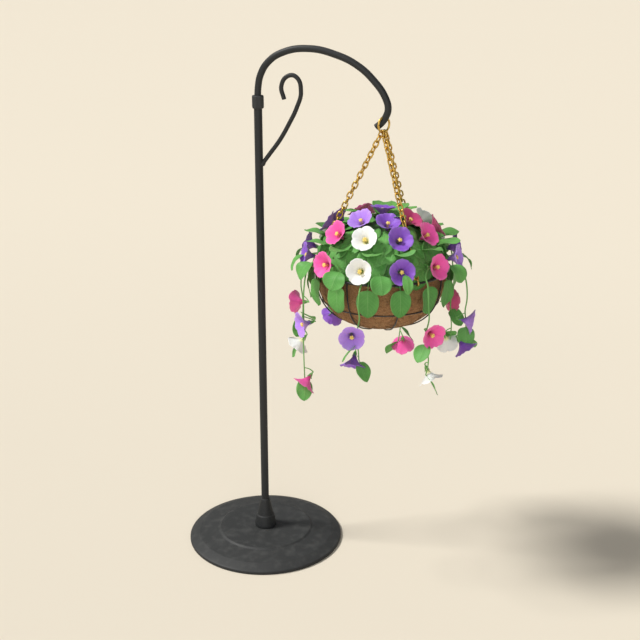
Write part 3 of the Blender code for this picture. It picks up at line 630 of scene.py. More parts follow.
def coir():
    """Matted coconut fibre: streaks, dark pits and lighter strands."""
    n = Nodes("coir", 0.92)
    stretch = n.node("Mapping", dict(Vector=n.place(), Scale=(1.0, 1.0, 2.6)))
    streak = n.noise(260.0, 5.0, stretch, 1.6)
    broad = n.noise(16.0, 3.0)
    tint = n.marks()[2]
    colour = n.mix(n.span(streak, 0.30, 0.72), (0.180, 0.085, 0.032), (0.490, 0.268, 0.118))
    colour = n.mix(broad * 0.45, colour, (0.380, 0.180, 0.068))
    colour = n.mix(n.span(tint, 0.50, 1.40), colour, (0.66, 0.43, 0.21))
    colour = n.mix(n.span(tint, 0.50, -0.40), colour, (0.100, 0.045, 0.018))
    n.bump(streak, 0.0012)
    return n.colour(colour)


def soil():
    """Damp peat compost with crumbs."""
    n = Nodes("soil", 0.95)
    crumb = n.noise(420.0, 5.0)
    n.bump(crumb, 0.0018)
    return n.colour(n.mix(crumb, (0.016, 0.010, 0.007), (0.085, 0.056, 0.036)))


def leaf(name, dark, light):
    """A soft leaf: blade marks give its midrib, side veins and tint."""
    n = Nodes(name, 0.50, Specular_IOR_Level=0.28)
    across, along, tint = n.marks()
    side = abs(across)
    midrib = n.span(side, 0.060, 0.015)
    ripple = abs(n.math("FRACT", along * 8.0 - side * 2.6) - 0.5)
    vein = n.span(ripple, 0.10, 0.02) * n.span(side, 0.98, 0.60)
    lines = n.math("MAXIMUM", midrib, vein * 0.60)
    mottle = n.noise(55.0, 4.0)
    # The tint mark sets each leaf's tone: its rise with height on the plant is painted light, the
    # mottle and the random spread are the leaves' own.
    shade = mottle * 0.36 + (tint - 0.18)
    colour = n.mix(n.span(shade, -0.10, 1.10), dark, light)
    pale = n.mix(0.55, colour, (0.30, 0.56, 0.20))
    colour = n.mix(lines * 0.45, colour, pale)
    colour = n.mix(n.span(side, 0.90, 1.05), colour, pale)
    n.bump(n.noise(1400.0, 2.0) * 0.25 - lines, 0.00035)
    n.roughness(0.42, 0.60, mottle)
    return n.colour(colour)


def petal(name, face, throat, vein):
    """A velvety petal, veined from its throat; read in the bloom's own coordinates."""
    n = Nodes(name, 0.55, Sheen_Weight=0.22, Sheen_Roughness=0.4, Subsurface_Weight=0.05)
    x, y, _ = n.axes(n.place())
    radius = n.math("SQRT", x * x + y * y)
    turn = n.math("ARCTAN2", y, x)
    waver = n.noise(130.0, 2.0) * 0.5
    fan = abs(n.math("SINE", (turn + waver) * 17.5))
    lines = n.span(fan, 0.34, 0.0) * n.span(radius, BLOOM_RADIUS, 0.012)
    mid = abs(n.math("SINE", turn * 2.5))
    ribs = n.span(mid, 0.10, 0.0) * n.span(radius, 1.05 * BLOOM_RADIUS, 0.020)
    lines = n.math("MAXIMUM", lines, ribs)
    soft = n.noise(90.0, 3.0) - 0.5
    colour = n.mix(lines * 0.55, face, vein)
    colour = n.mix(n.span(radius, 0.0115, 0.0055), colour, throat)
    paler = tuple(min(0.92, 0.75 * c + 0.22) for c in face)
    rim = soft * 0.5 + n.span(radius, 0.024, 0.036)
    colour = n.mix(rim * 0.30, colour, paler)
    n.bump(soft - lines * 0.8, 0.0004)
    return n.colour(colour)


def pollen():
    """Yellow anthers and stigma."""
    n = Nodes("pollen", 0.70)
    grain = n.noise(1600.0, 2.0)
    n.bump(grain, 0.0004)
    return n.colour(n.mix(grain, (0.86, 0.58, 0.10), (0.95, 0.80, 0.26)))


def floor_paint():
    """Pale seamless floor, a touch lighter further back and darker near the front, as painted light
    falloff.
    """
    n = Nodes("floor", 0.90, Specular_IOR_Level=0.1)
    # Painted light: the floor is painted darker towards the front, for light falling off over it.
    back = n.span(n.axes(n.place())[1], -1.5, 4.0)
    near_painted_shade = tuple(0.935 * c for c in FLOOR_COLOUR)
    return n.colour(n.mix(back, near_painted_shade, FLOOR_COLOUR))


# ---- the stand
def turned_piece(name, profile, corner, steps, material, node, sharp):
    """A cast piece turned about the pole's axis, with its corners rounded."""
    shape = Shape()
    add_turned(shape, rounded(profile, corner), steps)
    add_piece(name, shape, [material], [node], "stand", sharp)


def iron_base(iron):
    """The base plate: stepped on top, hollow below between its rim and pad."""
    profile = [(0.0, BASE_TOP), (PLATEAU_RADIUS - 0.003, BASE_TOP - 0.0005),
               (PLATEAU_RADIUS, BASE_TOP - 0.0025), (PLATEAU_RADIUS + 0.003, BASE_TOP - 0.0045),
               (BASE_RADIUS - 0.029, 0.0215), (BASE_RADIUS - 0.0025, 0.0105),
               (BASE_RADIUS, 0.0080), (BASE_RADIUS, 0.0015), (BASE_RADIUS - 0.0015, 0.0),
               (BASE_RADIUS - 0.016, 0.0), (BASE_RADIUS - 0.020, 0.0085),
               (PAD_RADIUS + 0.004, 0.0190), (PAD_RADIUS, 0.0), (0.0, 0.0)]
    turned_piece("cast_base", profile, 0.0016, 144, iron, "base_plate", sharp=40)


def iron_hub(iron):
    """The stepped cone that holds the pole, with rounded steps."""
    bottom = BASE_TOP + GAP
    profile = [(BORE, HUB_TOP), (0.0128, HUB_TOP), (0.0142, HUB_TOP - 0.003), (0.0222, 0.0790),
               (0.0236, 0.0720), (0.0262, 0.0690), (HUB_RADIUS, 0.0420), (HUB_RADIUS, bottom),
               (BORE, bottom), (BORE, HUB_TOP)]
    turned_piece("cast_hub", profile, 0.0012, 72, iron, "base_hub", sharp=40)


def sleeve_collar(paint):
    """Eight-sided cast sleeve over the joint of pole and crook, painted with the pole."""
    neck = CROOK_RADIUS + GAP
    profile = [(neck, COLLAR_TOP - 0.001), (COLLAR_RADIUS - 0.0035, COLLAR_TOP),
               (COLLAR_RADIUS - 0.001, COLLAR_TOP - 0.001), (COLLAR_RADIUS, COLLAR_TOP - 0.0035),
               (COLLAR_RADIUS, COLLAR_BOTTOM + 0.0035), (COLLAR_RADIUS - 0.0015, COLLAR_BOTTOM),
               (BORE, COLLAR_BOTTOM), (neck, COLLAR_TOP - 0.001)]
    turned_piece("cast_collar", profile, 0.0010, 8, paint, "collar", sharp=28)


def tube_pole(paint):
    """The straight tube between the hub and the collar."""
    shape = Shape()
    heights = np.linspace(BASE_TOP + GAP, POLE_TOP, 40)
    add_tube(shape, [(0.0, 0.0, z) for z in heights], POLE_RADIUS, 48)
    add_piece("tube_pole", shape, [paint], ["pole"], "stand", sharp=40)


def bent_bar(line, radius, sides, bead):
    """A bar along (X, Z) knots, its far end rounded over; bead is how far the rounding goes."""
    curve = bpy.data.curves.new("guide", "CURVE")
    curve.dimensions = "3D"
    curve.resolution_u = BAR_STEPS
    spline = curve.splines.new("BEZIER")
    spline.bezier_points.add(len(line) - 1)
    for knot, (x, z) in zip(spline.bezier_points, line):
        knot.co = (x, 0.0, z)
        knot.handle_left_type = knot.handle_right_type = "AUTO"
    guide = new_object("guide", curve)
    bpy.context.view_layer.update()
    mesh = bpy.data.meshes.new_from_object(guide)
    path = np.array([v.co[:] for v in mesh.vertices])
    bpy.data.objects.remove(guide, do_unlink=True)
    bpy.data.meshes.remove(mesh)
    bpy.data.curves.remove(curve)
    end = unit(path[-1] - path[-2])
    dome = [path[-1] - end * bead * (1.0 - s) for s in (0.0, 0.5, 0.8, 1.0)]
    radii = [radius] * (len(path) - 1) + [radius, radius * 0.93, radius * 0.80, radius * 0.55]
    shape = Shape()
    add_tube(shape, np.vstack([path[:-1], dome]), radii, sides)
    return shape


def crook_bar(paint):
    shape = bent_bar(CROOK_LINE, CROOK_RADIUS, 28, bead=0.0012)
    add_piece("bent_crook", shape, [paint], ["crook"], "stand", sharp=50)


def scroll_bar(paint):
    """The curl under the crook, with the weld bead at its foot."""
    shape = bent_bar(SCROLL_LINE, SCROLL_RADIUS, 22, bead=0.0008)
    start, after = (np.array((x, 0.0, z)) for x, z in SCROLL_LINE[:2])
    run = unit(after - start)
    spots = [start + run * reach for reach in (0.0070, 0.0105, 0.0135, 0.0160, 0.0180)]
    add_tube(shape, spots, [SCROLL_RADIUS + s for s in (0.0016, 0.0018, 0.0013, 0.0006, 0.0)], 22)
    add_piece("curled_scroll", shape, [paint], ["scroll"], "stand", sharp=50)


def grub_screw(name, node, steel):
    """A short screw along +Y, with a domed end and a socket in it."""
    low, high = extent(node)
    length = high[1] - low[1]
    r = (high[2] - low[2]) / 2
    floor = length - SOCKET_DEPTH
    profile = [(0.0, floor), (SOCKET_RADIUS, floor), (SOCKET_RADIUS, length - 0.0002),
               (r - 0.0009, length), (r - 0.0002, length - 0.0004), (r, length - 0.0009),
               (r, 0.0006), (r - 0.0006, 0.0), (0.0, 0.0)]
    shape = Shape()
    place = Matrix.Translation((0.0, low[1], low[2] + r))
    turn = place @ Matrix.Rotation(math.radians(-90.0), 4, "X")
    add_turned(shape, rounded(profile, 0.0002, 2), 36, matrix=turn)
    add_piece(name, shape, [steel], [node], "stand", sharp=35)


def hanging_ring(metal):
    """The ring that hangs upright on the crook's tip."""
    shape = Shape()
    path = [on_axis(RING_Z) + RING_MAJOR * (RING_ACROSS * math.cos(t) + UP * math.sin(t))
            for t in full_turn(72)]
    add_loop(shape, path, heading(RING_TURN), RING_WIRE, 20)
    add_piece("brass_ring", shape, [metal], ["hanging_ring"], "stand")


def stand(metal):
    iron = black_paint("cast_iron_black", 520.0, 0.00055, 0.48, 0.66, rubbed_and_glint=0.90)
    paint = black_paint("painted_steel_black", 900.0, 0.00012, 0.46, 0.62, rubbed_and_glint=0.10)
    steel = screw_steel()
    iron_base(iron)
    iron_hub(iron)
    sleeve_collar(paint)
    tube_pole(paint)
    crook_bar(paint)
    scroll_bar(paint)
    grub_screw("hub_grub_screw", "hub_screw", steel)
    grub_screw("collar_grub_screw", "collar_screw", steel)
    hanging_ring(metal)


# ---- chains
def chain_ends(index):
    """Centres of the ring's wire and of the rim's wire where a chain holds them."""
    shift = CHAIN_SLOTS[index] * CHAIN_SPACING
    rise = RING_MAJOR - math.sqrt(RING_MAJOR ** 2 - shift ** 2)
    top = on_axis(RING_Z - RING_MAJOR + rise) + RING_ACROSS * shift
    return top, polar(CHAIN_ANGLES[index], RIM_RADIUS, RIM_Z)


def link_outline(centre, along, normal, half, wide):
    """The centre line of one oval link: two half rounds joined by straight sides."""
    side = np.cross(normal, along)
    straight = half - wide
    points = []
    for t in full_turn(24):
        shift = straight if math.cos(t) >= 0.0 else -straight
        points.append(centre + along * (wide * math.cos(t) + shift) + side * (wide * math.sin(t)))
    return np.array(points)


def rotated(vector, axis, angle):
    return (vector * math.cos(angle) + np.cross(axis, vector) * math.sin(angle)
            + axis * axis.dot(vector) * (1.0 - math.cos(angle)))


def chain(index, metal):
    """Oval links through each other, from the ring to the rim."""
    top, bottom = chain_ends(index)
    along = unit(bottom - top)
    start = top - along * (RING_WIRE + LINK_WIRE)
    reach = np.linalg.norm(bottom - top) + RING_WIRE + RIM_WIRE + 2 * LINK_WIRE
    count = 2 * round((reach / LINK_PITCH - 1.0) / 2) + 1
    pitch = (reach - 2 * LINK_WIRE) / count
    half = pitch / 2 + LINK_WIRE
    first = square_to(along, RING_ACROSS)
    last = square_to(along, heading(CHAIN_ANGLES[index] + 90.0))
    if first.dot(last) < 0.0:
        last = -last
    twist = math.atan2(along.dot(np.cross(first, last)), first.dot(last))
    rng = random.Random(40 + index)
    shape = Shape()
    for i in range(count):
        turn = twist * i / (count - 1) + math.radians(90.0) * (i % 2)
        normal = rotated(first, along, turn + math.radians(rng.uniform(-LINK_SWAY, LINK_SWAY)))
        centre = start + along * (half + pitch * i)
        outline = link_outline(centre, along, normal, half, LINK_WIDTH / 2 - LINK_WIRE)
        add_loop(shape, outline, normal, LINK_WIRE, 10)
    add_piece(f"brass_chain_{index + 1}", shape, [metal], [f"chain_{index + 1}"])


# ---- basket, liner, soil
def bowl_radius(depth, radius, total_depth):
    return radius * (1.0 - min(1.0, depth / total_depth) ** BOWL_POWER) ** (1.0 / BOWL_POWER)


def circle(radius, height, count):
    return np.array([polar(360.0 * i / count, radius, height) for i in range(count)])


def level_wires(wire):
    """The rim and the hoop."""
    hoop = bowl_radius(HOOP_DEPTH, LINER_RADIUS, LINER_DEPTH) + HOOP_WIRE + 3 * GAP
    for name, node, path, thick, sides in (
            ("wire_rim", "rim_ring", circle(RIM_RADIUS, RIM_Z, 120), RIM_WIRE, 16),
            ("wire_hoop", "mid_hoop", circle(hoop, HOOP_Z, 110), HOOP_WIRE, 12)):
        shape = Shape()
        add_loop(shape, path, UP, thick, sides)
        add_piece(name, shape, [wire], [node])


def wire_ribs(wire):
    """The ribs and their foot ring, with weld beads where they meet."""
    shape = Shape()
    foot_z = RIM_Z - BOWL_DEPTH
    add_loop(shape, circle(FOOT_RADIUS, foot_z, 48), UP, FOOT_WIRE, 12)
    for i in range(RIB_COUNT):
        angle = RIB_START + 360.0 * i / RIB_COUNT
        knots = [polar(angle, RIM_RADIUS, RIM_Z - RIM_WIRE - RIB_WIRE + 0.0012)]
        for share in (0.16, 0.36, 0.55, 0.72, 0.86, 0.95):
            depth = BOWL_DEPTH * share
            knots.append(polar(angle, bowl_radius(depth, RIM_RADIUS, BOWL_DEPTH), RIM_Z - depth))
        knots.append(polar(angle, FOOT_RADIUS + 0.020, foot_z + 0.0012))
        knots.append(polar(angle, FOOT_RADIUS - 0.001, foot_z))
        add_tube(shape, smooth_path(knots, 48), RIB_WIRE, 12)
        for spot, size in ((knots[0], 0.0031), (knots[-1], 0.0032)):
            add_bead(shape, spot, size)
    add_piece("wire_ribs", shape, [wire], ["rib_cradle"])


def add_bead(shape, centre, radius, slot=0, stretch=1.0, marks=PLAIN):
    """A small rounded lump, upright, as tall as stretch times its width."""
    lift = np.linspace(math.pi / 2, -math.pi / 2, 9)
    profile = [(radius * max(0.0, math.cos(e)), radius * stretch * math.sin(e)) for e in lift]
    add_turned(shape, profile, 12, slot, Matrix.Translation(Vector(centre)), marks)


def liner_point(angle, depth):
    """A point on the liner's outside, which swells a little between the wires."""
    between = 0.5 - 0.5 * math.cos(math.radians((angle - RIB_START) * RIB_COUNT))
    above = 1.0 - math.exp(-((depth - HOOP_DEPTH) / 0.016) ** 2)
    ends = smoothstep(depth / 0.030) * smoothstep((LINER_DEPTH - depth) / 0.045)
    swell = 0.0028 * between * above * float(ends)
    return polar(angle, bowl_radius(depth, LINER_RADIUS, LINER_DEPTH) + swell, RIM_Z - depth)


def coir_liner(fibre):
    """The matted wall, rough on its outside and lip; its loose strands are laid over it by
    coir_strands.
    """
    around = 160
    outside = [LINER_DEPTH * math.sin(t) for t in
               np.linspace(math.asin((RIM_Z - LINER_TOP) / LINER_DEPTH), math.pi / 2 - 0.02, 44)]
    grid = np.array([[liner_point(360.0 * j / around, depth) for j in range(around)]
                     for depth in outside])
    normal = grid_normals(grid, True)
    flat = grid.reshape(-1, 3)
    relief = 0.0009 * rough(flat, 70.0) + 0.0006 * rough(flat, 260.0, 3.0)
    grid = grid - normal * relief.reshape(grid.shape[:2])[..., None]
    shape = Shape()
    lip = [circle(LINER_RADIUS - LINER_WALL * s, LINER_TOP + rise, around)
           for s, rise in ((1.0, -0.014), (1.0, -0.0015), (0.75, 0.0012), (0.3, 0.0015))]
    whole = np.concatenate([np.array(lip), grid])[::-1]
    add_sheet(shape, whole, 0.0025, wrap=True)
    add_piece("coir_bowl", shape, [fibre], ["coir_liner"])


def coir_strands(fibre):
    """Loose strands lying over the liner in all directions."""
    rng = random.Random(11)
    shape = Shape()
    for _ in range(STRAND_COUNT):
        angle = rng.uniform(0.0, 360.0)
        depth = LINER_DEPTH * math.sin(rng.uniform(0.03, 1.45))
        bearing = rng.uniform(0.0, 2 * math.pi)
        length = rng.uniform(*STRAND_LENGTH)
        bend = rng.uniform(-1.1, 1.1)
        lift = rng.uniform(0.0, 0.0008)
        spots = []
        for s in (-0.5, -0.17, 0.17, 0.5):
            b = bearing + bend * s
            step = length * s
            here = max(0.001, min(LINER_DEPTH - 0.0005, depth + step * math.sin(b)))
            radius = max(0.02, bowl_radius(here, LINER_RADIUS, LINER_DEPTH))
            turn = angle + math.degrees(step * math.cos(b) / radius)
            point = liner_point(turn, here)
            out = unit(point - on_axis(RIM_Z + 0.02))
            spots.append(point + out * (0.0002 + lift * (1.0 - 4.0 * (abs(s) - 0.25) ** 2)))
        thick = rng.uniform(*STRAND_RADIUS)
        add_tube(shape, spots, thick, 3, marks=(0.0, 0.0, rng.uniform(-0.2, 1.3)))
    add_piece("coir_strands", shape, [fibre])


def compost(earth):
    """The soil's crumbly top; the liner hides the rest."""
    shape = Shape()
    inner = LINER_RADIUS - LINER_WALL - 0.002
    rows = []
    for radius in np.linspace(inner, 0.002, 30):
        ring = circle(radius, SOIL_TOP - 0.002, 96)
        ring[:, 2] += 0.0012 * rough(ring, 120.0) + 0.0008 * rough(ring, 420.0, 5.0)
        rows.append(ring)
    wall = circle(inner, SOIL_TOP - 0.030, 96)
    floor = circle(0.002, SOIL_TOP - 0.030, 96)
    add_sheet(shape, np.array([floor, wall, *rows]), 0.0008, wrap=True)
    add_piece("compost", shape, [earth], ["potting_soil"])


# ---- leaves
def leaf_width(v):
    """Half the relative width of a broad pointed leaf, along it."""
    return np.maximum(0.012, v ** 0.50 * (1.0 - v) ** 0.62 / 0.463)


def blade_grid(rows, cols):
    """Place across, -1 to 1, and along, 0 to 1, of each point of a blade."""
    return np.meshgrid(np.linspace(-1.0, 1.0, cols), np.linspace(0.0, 1.0, rows))


def leaf_blade(line, across, width, rng, rows, cols):
    """The points of a creased, slightly wavy blade with its midrib along a line."""
    midrib = smooth_path(line, rows)
    along = unit(np.gradient(midrib, axis=0))
    side = unit(across - along * (along @ across)[:, None])
    normal = np.cross(side, along)
    u, v = blade_grid(rows, cols)
    reach = u * 0.5 * width * leaf_width(v)
    fold = rng.uniform(0.05, 0.20)
    wave = rng.uniform(0.02, 0.05) * width
    phase = rng.uniform(0.0, 6.3)
    rise = (fold * np.abs(reach) - 0.45 * reach ** 2 / width
            + wave * u ** 2 * np.sin(8.0 * v + 1.3 * u + phase) * smoothstep(5.0 * v)
            - 0.0006 * np.maximum(0.0, 1.0 - np.abs(u) / 0.16))
    return midrib[:, None] + side[:, None] * reach[..., None] + normal[:, None] * rise[..., None]


def add_leaf(shape, blade, tint, stalk=(), slot=0):
    """A blade, and the round stalk that leads to it."""
    u, v = blade_grid(*blade.shape[:2])
    add_sheet(shape, blade, LEAF_THICKNESS, slot, np.stack([u, v, np.full_like(u, tint)], -1))
    if len(stalk) > 1:
        line = smooth_path(stalk, 8)
        add_tube(shape, line, np.linspace(0.0014, 0.0009, 8), 6, slot, (0.0, 0.3, tint))


def meets_bloom(points, blooms, hiding=0.0):
    """Whether any point is inside a bloom, or hides its face from up to hiding away."""
    for face, direction in blooms:
        step = points - face
        ahead = step @ direction
        aside = np.linalg.norm(step - ahead[:, None] * direction, axis=1)
        funnel = BLOOM_RADIUS * np.clip(1.0 + ahead / 0.028, 0.12, 1.0) + 0.002
        if np.any((ahead > -BLOOM_TUBE) & (ahead < max(0.007, hiding)) & (aside < funnel)):
            return True
    return False


def mound_point(angle, lift, grow=0.0):
    """A point on the lumpy dome that the mound's leaves are rooted in."""
    a, e = math.radians(angle), math.radians(lift)
    waves = 0.5 * math.sin(5 * a + 0.7) + 0.35 * math.sin(8 * a + 2.1 + 0.05 * lift)
    radius = (MOUND_RADIUS + grow) * (1.0 + 0.028 * waves * math.cos(e))
    flat = math.cos(e) ** 0.86
    return polar(angle, radius * flat, MOUND_FOOT + (MOUND_HEIGHT + grow) * math.sin(e))


def mound_leaf(shape, rng, angle, lift, blooms):
    """One leaf of the mound, rooted in the dome and lying outwards and down over it.

    A place beside a bloom is tried with a few leaves, each smaller than the last.
    """
    spot = mound_point(angle, lift)
    east = unit(mound_point(angle + 1.0, lift) - mound_point(angle - 1.0, lift))
    down = unit(mound_point(angle, lift - 1.0) - mound_point(angle, min(89.5, lift + 1.0)))
    out = unit(np.cross(down, east))
    if out @ (spot - on_axis(MOUND_FOOT)) < 0.0:
        out = -out
    # The tint rises with height on the dome: painted light, the top painted lighter and the low
    # leaves darker as shade; the random part is the leaves' own variation.
    high = (spot[2] - MOUND_FOOT) / MOUND_HEIGHT
    tint = 0.26 + 0.32 * high + rng.uniform(-0.10, 0.14)
    for smaller in (1.0, 0.95, 0.88, 0.80, 0.72, 0.64):
        swing = math.radians(rng.uniform(-48.0, 48.0))
        ahead = down * math.cos(swing) + east * math.sin(swing)
        across = unit(np.cross(out, ahead))
        length = smaller * rng.uniform(*MOUND_LEAF)
        raise_by = math.radians(rng.uniform(7.0, 16.0))
        root = spot - ahead * 0.42 * length - out * 0.004
        run = ahead * math.cos(raise_by) + out * math.sin(raise_by)
        steps = ((0.0, 0.0), (0.36, 0.0), (0.68, -0.04), (0.97, -0.16))
        line = bent_line(root, run * length, out * length, steps, 12)
        tilt = math.radians(rng.uniform(-12.0, 12.0))
        width = length * rng.uniform(0.76, 0.90)
        blade = leaf_blade(line, rotated(across, run, tilt), width, rng, 11, 7)
        if not meets_bloom(blade.reshape(-1, 3), blooms, 0.060):
            add_leaf(shape, blade, tint)
            return


def mound(green, shade, blooms):
    """The leafy dome: a heart coloured dark green as painted shade inside the foliage, and leaves
    spread evenly over it.
    """
    shape = Shape()
    rows = [circle(0.148, RIM_Z - 0.012, 72), circle(0.150, RIM_Z + 0.003, 72)]
    for lift in np.linspace(0.0, 86.0, 24):
        rows.append([mound_point(5.0 * j, lift, -0.012) for j in range(72)])
    add_sheet(shape, np.array(rows), 0.002, wrap=True)
    add_piece("foliage_heart", shape, [shade])

    rng = random.Random(7)
    shape = Shape()
    golden = 180.0 * (3.0 - math.sqrt(5.0))
    for i in range(MOUND_LEAVES):
        height = 1.0 - (i + 0.5) / MOUND_LEAVES
        lift = math.degrees(math.asin(min(1.0, height * 1.10 - 0.06)))
        angle = golden * i + rng.uniform(-4.0, 4.0)
        mound_leaf(shape, rng, angle, max(-6.0, lift), blooms)
    add_piece("foliage_mound", shape, [green], ["foliage"])


def row_leaf(row, angle, size, rng):
    """One leaf of a row at an angle: its blade and its stalk."""
    angle = beside_chains(angle, row["margin"])
    width = size * row["width"] * rng.uniform(0.93, 1.07)
    sway = rng.uniform(-row["sway"], row["sway"])
    across = heading(angle + 90.0 + rng.uniform(-12.0, 12.0), rng.uniform(-8.0, 8.0))
    knots = []
    for k, (radius, height) in enumerate(row["path"]):
        knots.append(polar(angle + sway * k / len(row["path"]), radius, height))
    line = smooth_path(knots, LEAF_STEPS + 1)
    cut = round(row["stalk"] * LEAF_STEPS)
    return leaf_blade(line[cut:], across, width, rng, LEAF_STEPS, 15), line[:cut + 1]


def clear_leaf(row, angle, rng, blooms):
    """A leaf that goes through no bloom: moved round a little, or narrower, if it has to be."""
    for size in (1.0, 0.82, 0.66, 0.50):
        for shift in (0.0, 2.0, -2.0, 4.0, -4.0, 6.0, -6.0, 9.0, -9.0):
            blade, stalk = row_leaf(row, angle + shift, size, rng)
            if not meets_bloom(np.concatenate([blade.reshape(-1, 3), stalk]), blooms):
                return blade, stalk
    return blade, stalk


def leaf_rows(green, blooms):
    """The leaves that stand out at the rim, below it, half-way up and on the crown."""
    rng = random.Random(21)
    for name, row in LEAF_ROWS.items():
        shape = Shape()
        for angle in row["angles"]:
            light = row["light"] + rng.uniform(-0.12, 0.12)
            blade, stalk = clear_leaf(row, angle, rng, blooms)
            add_leaf(shape, blade, light, stalk)
        add_piece(f"leaves_{name}", shape, [green])


# ---- petunias
def bloom_shape(seed, stalk):
    """One petunia about its own +Z: a veined funnel of five joined petals with its parts."""
    rng = random.Random(seed)
    shape = Shape()
    rows, cols = 22, 60
    line = smooth_path([(r, 0.0, z) for r, z in LIMB_LINE], rows)
    radius, height = line[:, 0][:, None], line[:, 2][:, None]
    turn = full_turn(cols)[None, :]
    limb = smoothstep((radius - 0.009) / (BLOOM_RADIUS - 0.009))
    away = np.abs((turn * 5 / (2 * math.pi) + 0.5) % 1.0 - 0.5) * 2.0
    notch = np.exp(-(away / 0.16) ** 2)
    point = np.exp(-((1.0 - away) / 0.22) ** 2)
    spread = 1.0 + limb * (0.030 * point - 0.085 * notch + 0.012 * rng.uniform(-1, 1))
    phases = [rng.uniform(0.0, 6.3) for _ in range(4)]
    ruffle = (0.0011 * np.sin(5 * turn + phases[0]) + 0.0008 * np.sin(9 * turn + phases[1])
              + 0.0006 * np.sin(14 * turn + phases[2]))
    pleat = -0.0016 * np.exp(-(away / 0.22) ** 2) + 0.0007 * point
    nod = rng.uniform(0.0008, 0.0022) * np.cos(turn + phases[3])
    height = height + limb * (pleat + nod * limb) + limb ** 3 * ruffle
    points = np.stack([radius * spread * np.cos(turn), radius * spread * np.sin(turn),
                       np.broadcast_to(height, (rows, cols))], -1)
    add_sheet(shape, points, PETAL_THICKNESS, wrap=True)
    add_stamens(shape, rng)
    add_calyx(shape, rng)
    foot = UP * (0.003 - BLOOM_TUBE)
    sway = np.array((rng.uniform(-1, 1), rng.uniform(-1, 1), 0.0)) * 0.04 * stalk
    line = smooth_path([foot, foot - UP * stalk / 2 + sway, foot - UP * stalk], 6)
    add_tube(shape, line, (0.0019, 0.0015, 0.0014, 0.0013, 0.0013, 0.0013), 8, 1, STALK)
    return shape


def add_stamens(shape, rng):
    """Five anthers round a stigma, which fill the throat as a yellow eye."""
    eye = -0.0030
    for i in range(5):
        out = heading(72.0 * i + math.degrees(rng.uniform(-0.2, 0.2)))
        spot = out * 0.0038 + UP * (eye + rng.uniform(0.0, 0.0008))
        add_bead(shape, spot, 0.0023, 2, 1.10)
        root = out * 0.0012 - UP * 0.022
        add_tube(shape, [root, spot * 0.6 + root * 0.4, spot], 0.0004, 5, 2)
    add_bead(shape, UP * (eye + 0.0011), 0.0030, 2, 0.9)


def add_calyx(shape, rng):
    """Five narrow green sepals that clasp the foot of the tube, and its swollen base."""
    foot = UP * -BLOOM_TUBE
    add_bead(shape, foot + UP * 0.0015, 0.0031, 1, 1.2, (0.0, 0.3, 0.45))
    for i in range(5):
        angle = 72.0 * i + rng.uniform(-9.0, 9.0)
        out = heading(angle)
        flare = rng.uniform(0.0066, 0.0092)
        steps = ((0.0014, 0.0), (0.0038, 0.003), (0.0050, 0.008), (flare, 0.0135))
        line = bent_line(foot, out, UP, steps, 8)
        add_leaf(shape, leaf_blade(line, heading(angle + 90.0), 0.0042, rng, 7, 5), 0.45, slot=1)


def petunia(name, shape, face, direction, spin, colour, looks, nodes=()):
    """A bloom as a piece of its own, with its face at a point and along a direction."""
    turn = Vector(direction).to_track_quat("Z", "Y").to_matrix().to_4x4()
    matrix = Matrix.Translation(Vector(face)) @ turn @ Matrix.Rotation(spin, 4, "Z")
    add_piece(f"petunia_{name}", shape, looks[colour], nodes, matrix=matrix)


def mound_bloom_list():
    """Name, face, direction and colour of each bloom that stands out of the mound."""
    found = []
    for prefix, ring in (("low", LOWER_RING), ("mid", UPPER_RING)):
        first, radius, height, tilt, colours = ring
        for i, colour in enumerate(colours):
            angle = beside_chains(first + 360.0 * i / len(colours), BLOOM_MARGIN)
            found.append((f"{prefix}_{i + 1:02d}", polar(angle, radius, height),
                          heading(angle, tilt), colour))
    for i, (angle, radius, height, tilt, colour) in enumerate(TOP_BLOOMS):
        found.append((f"top_{i + 1}", polar(angle, radius, height), heading(angle, tilt), colour))
    return found


def mound_blooms(blooms, looks):
    for i, (name, face, direction, colour) in enumerate(blooms):
        shape = bloom_shape(100 + i, 0.030)
        petunia(name, shape, face, direction, 0.9 * i, colour, looks, [f"bloom_{name}"])


# ---- trailing shoots
def trail_knots(index):
    """A shoot's stem: out of the mound, over the rim and down."""
    angle, tip = SHOOTS[index][:2]
    rise = HIGH_RISE * (index % 2)
    root = beside_chains(angle, BLOOM_MARGIN)
    points = [polar(root + (angle - root) * swing, distance, height + rise * share)
              for distance, height, share, swing in ARCH]
    for i in range(1, TRAIL_STEPS + 1):
        height = TRAIL_TOP + (tip - TRAIL_TOP) * i / TRAIL_STEPS
        turn = angle + math.sin(1.7 * i + index)
        points.append(polar(turn, TRAIL_RADIUS + 0.002 * math.sin(2.1 * i), height))
    return points


def stem_point(points, height):
    """The stem's centre at a height on its hanging stretch."""
    hanging = points[-TRAIL_STEPS - 1:]
    for above, below in zip(hanging, hanging[1:]):
        if below[2] <= height:
            share = (above[2] - height) / (above[2] - below[2])
            return above * (1.0 - share) + below * share
    return hanging[-1].copy()


def trail_leaf(shape, rng, root, angle, tilt, roll):
    """A leaf on a short stalk that droops from the stem."""
    out = heading(angle, tilt)
    steps = ((0.0, 0.0), (0.012, 0.0), (0.035, -0.002), (0.055, -0.007))
    line = bent_line(root, out, UP, steps, LEAF_STEPS + 1)
    across = rotated(heading(angle + 90.0), out, math.radians(roll))
    blade = leaf_blade(line[5:], across, rng.uniform(0.041, 0.047), rng, 20, 13)
    add_leaf(shape, blade, rng.uniform(0.42, 0.66), line[:6])


def pedicel(shape, knots, foot, direction):
    """The thin stalk that leaves the stem and bends into a bloom's foot."""
    start = stem_point(knots, foot[2] + 0.014)
    middle = (start + foot) / 2 - direction * 0.004
    line = [start, middle, foot - direction * 0.003, foot]
    add_tube(shape, smooth_path(line, 24), np.linspace(0.0013, 0.0017, 24), 8, marks=STALK)


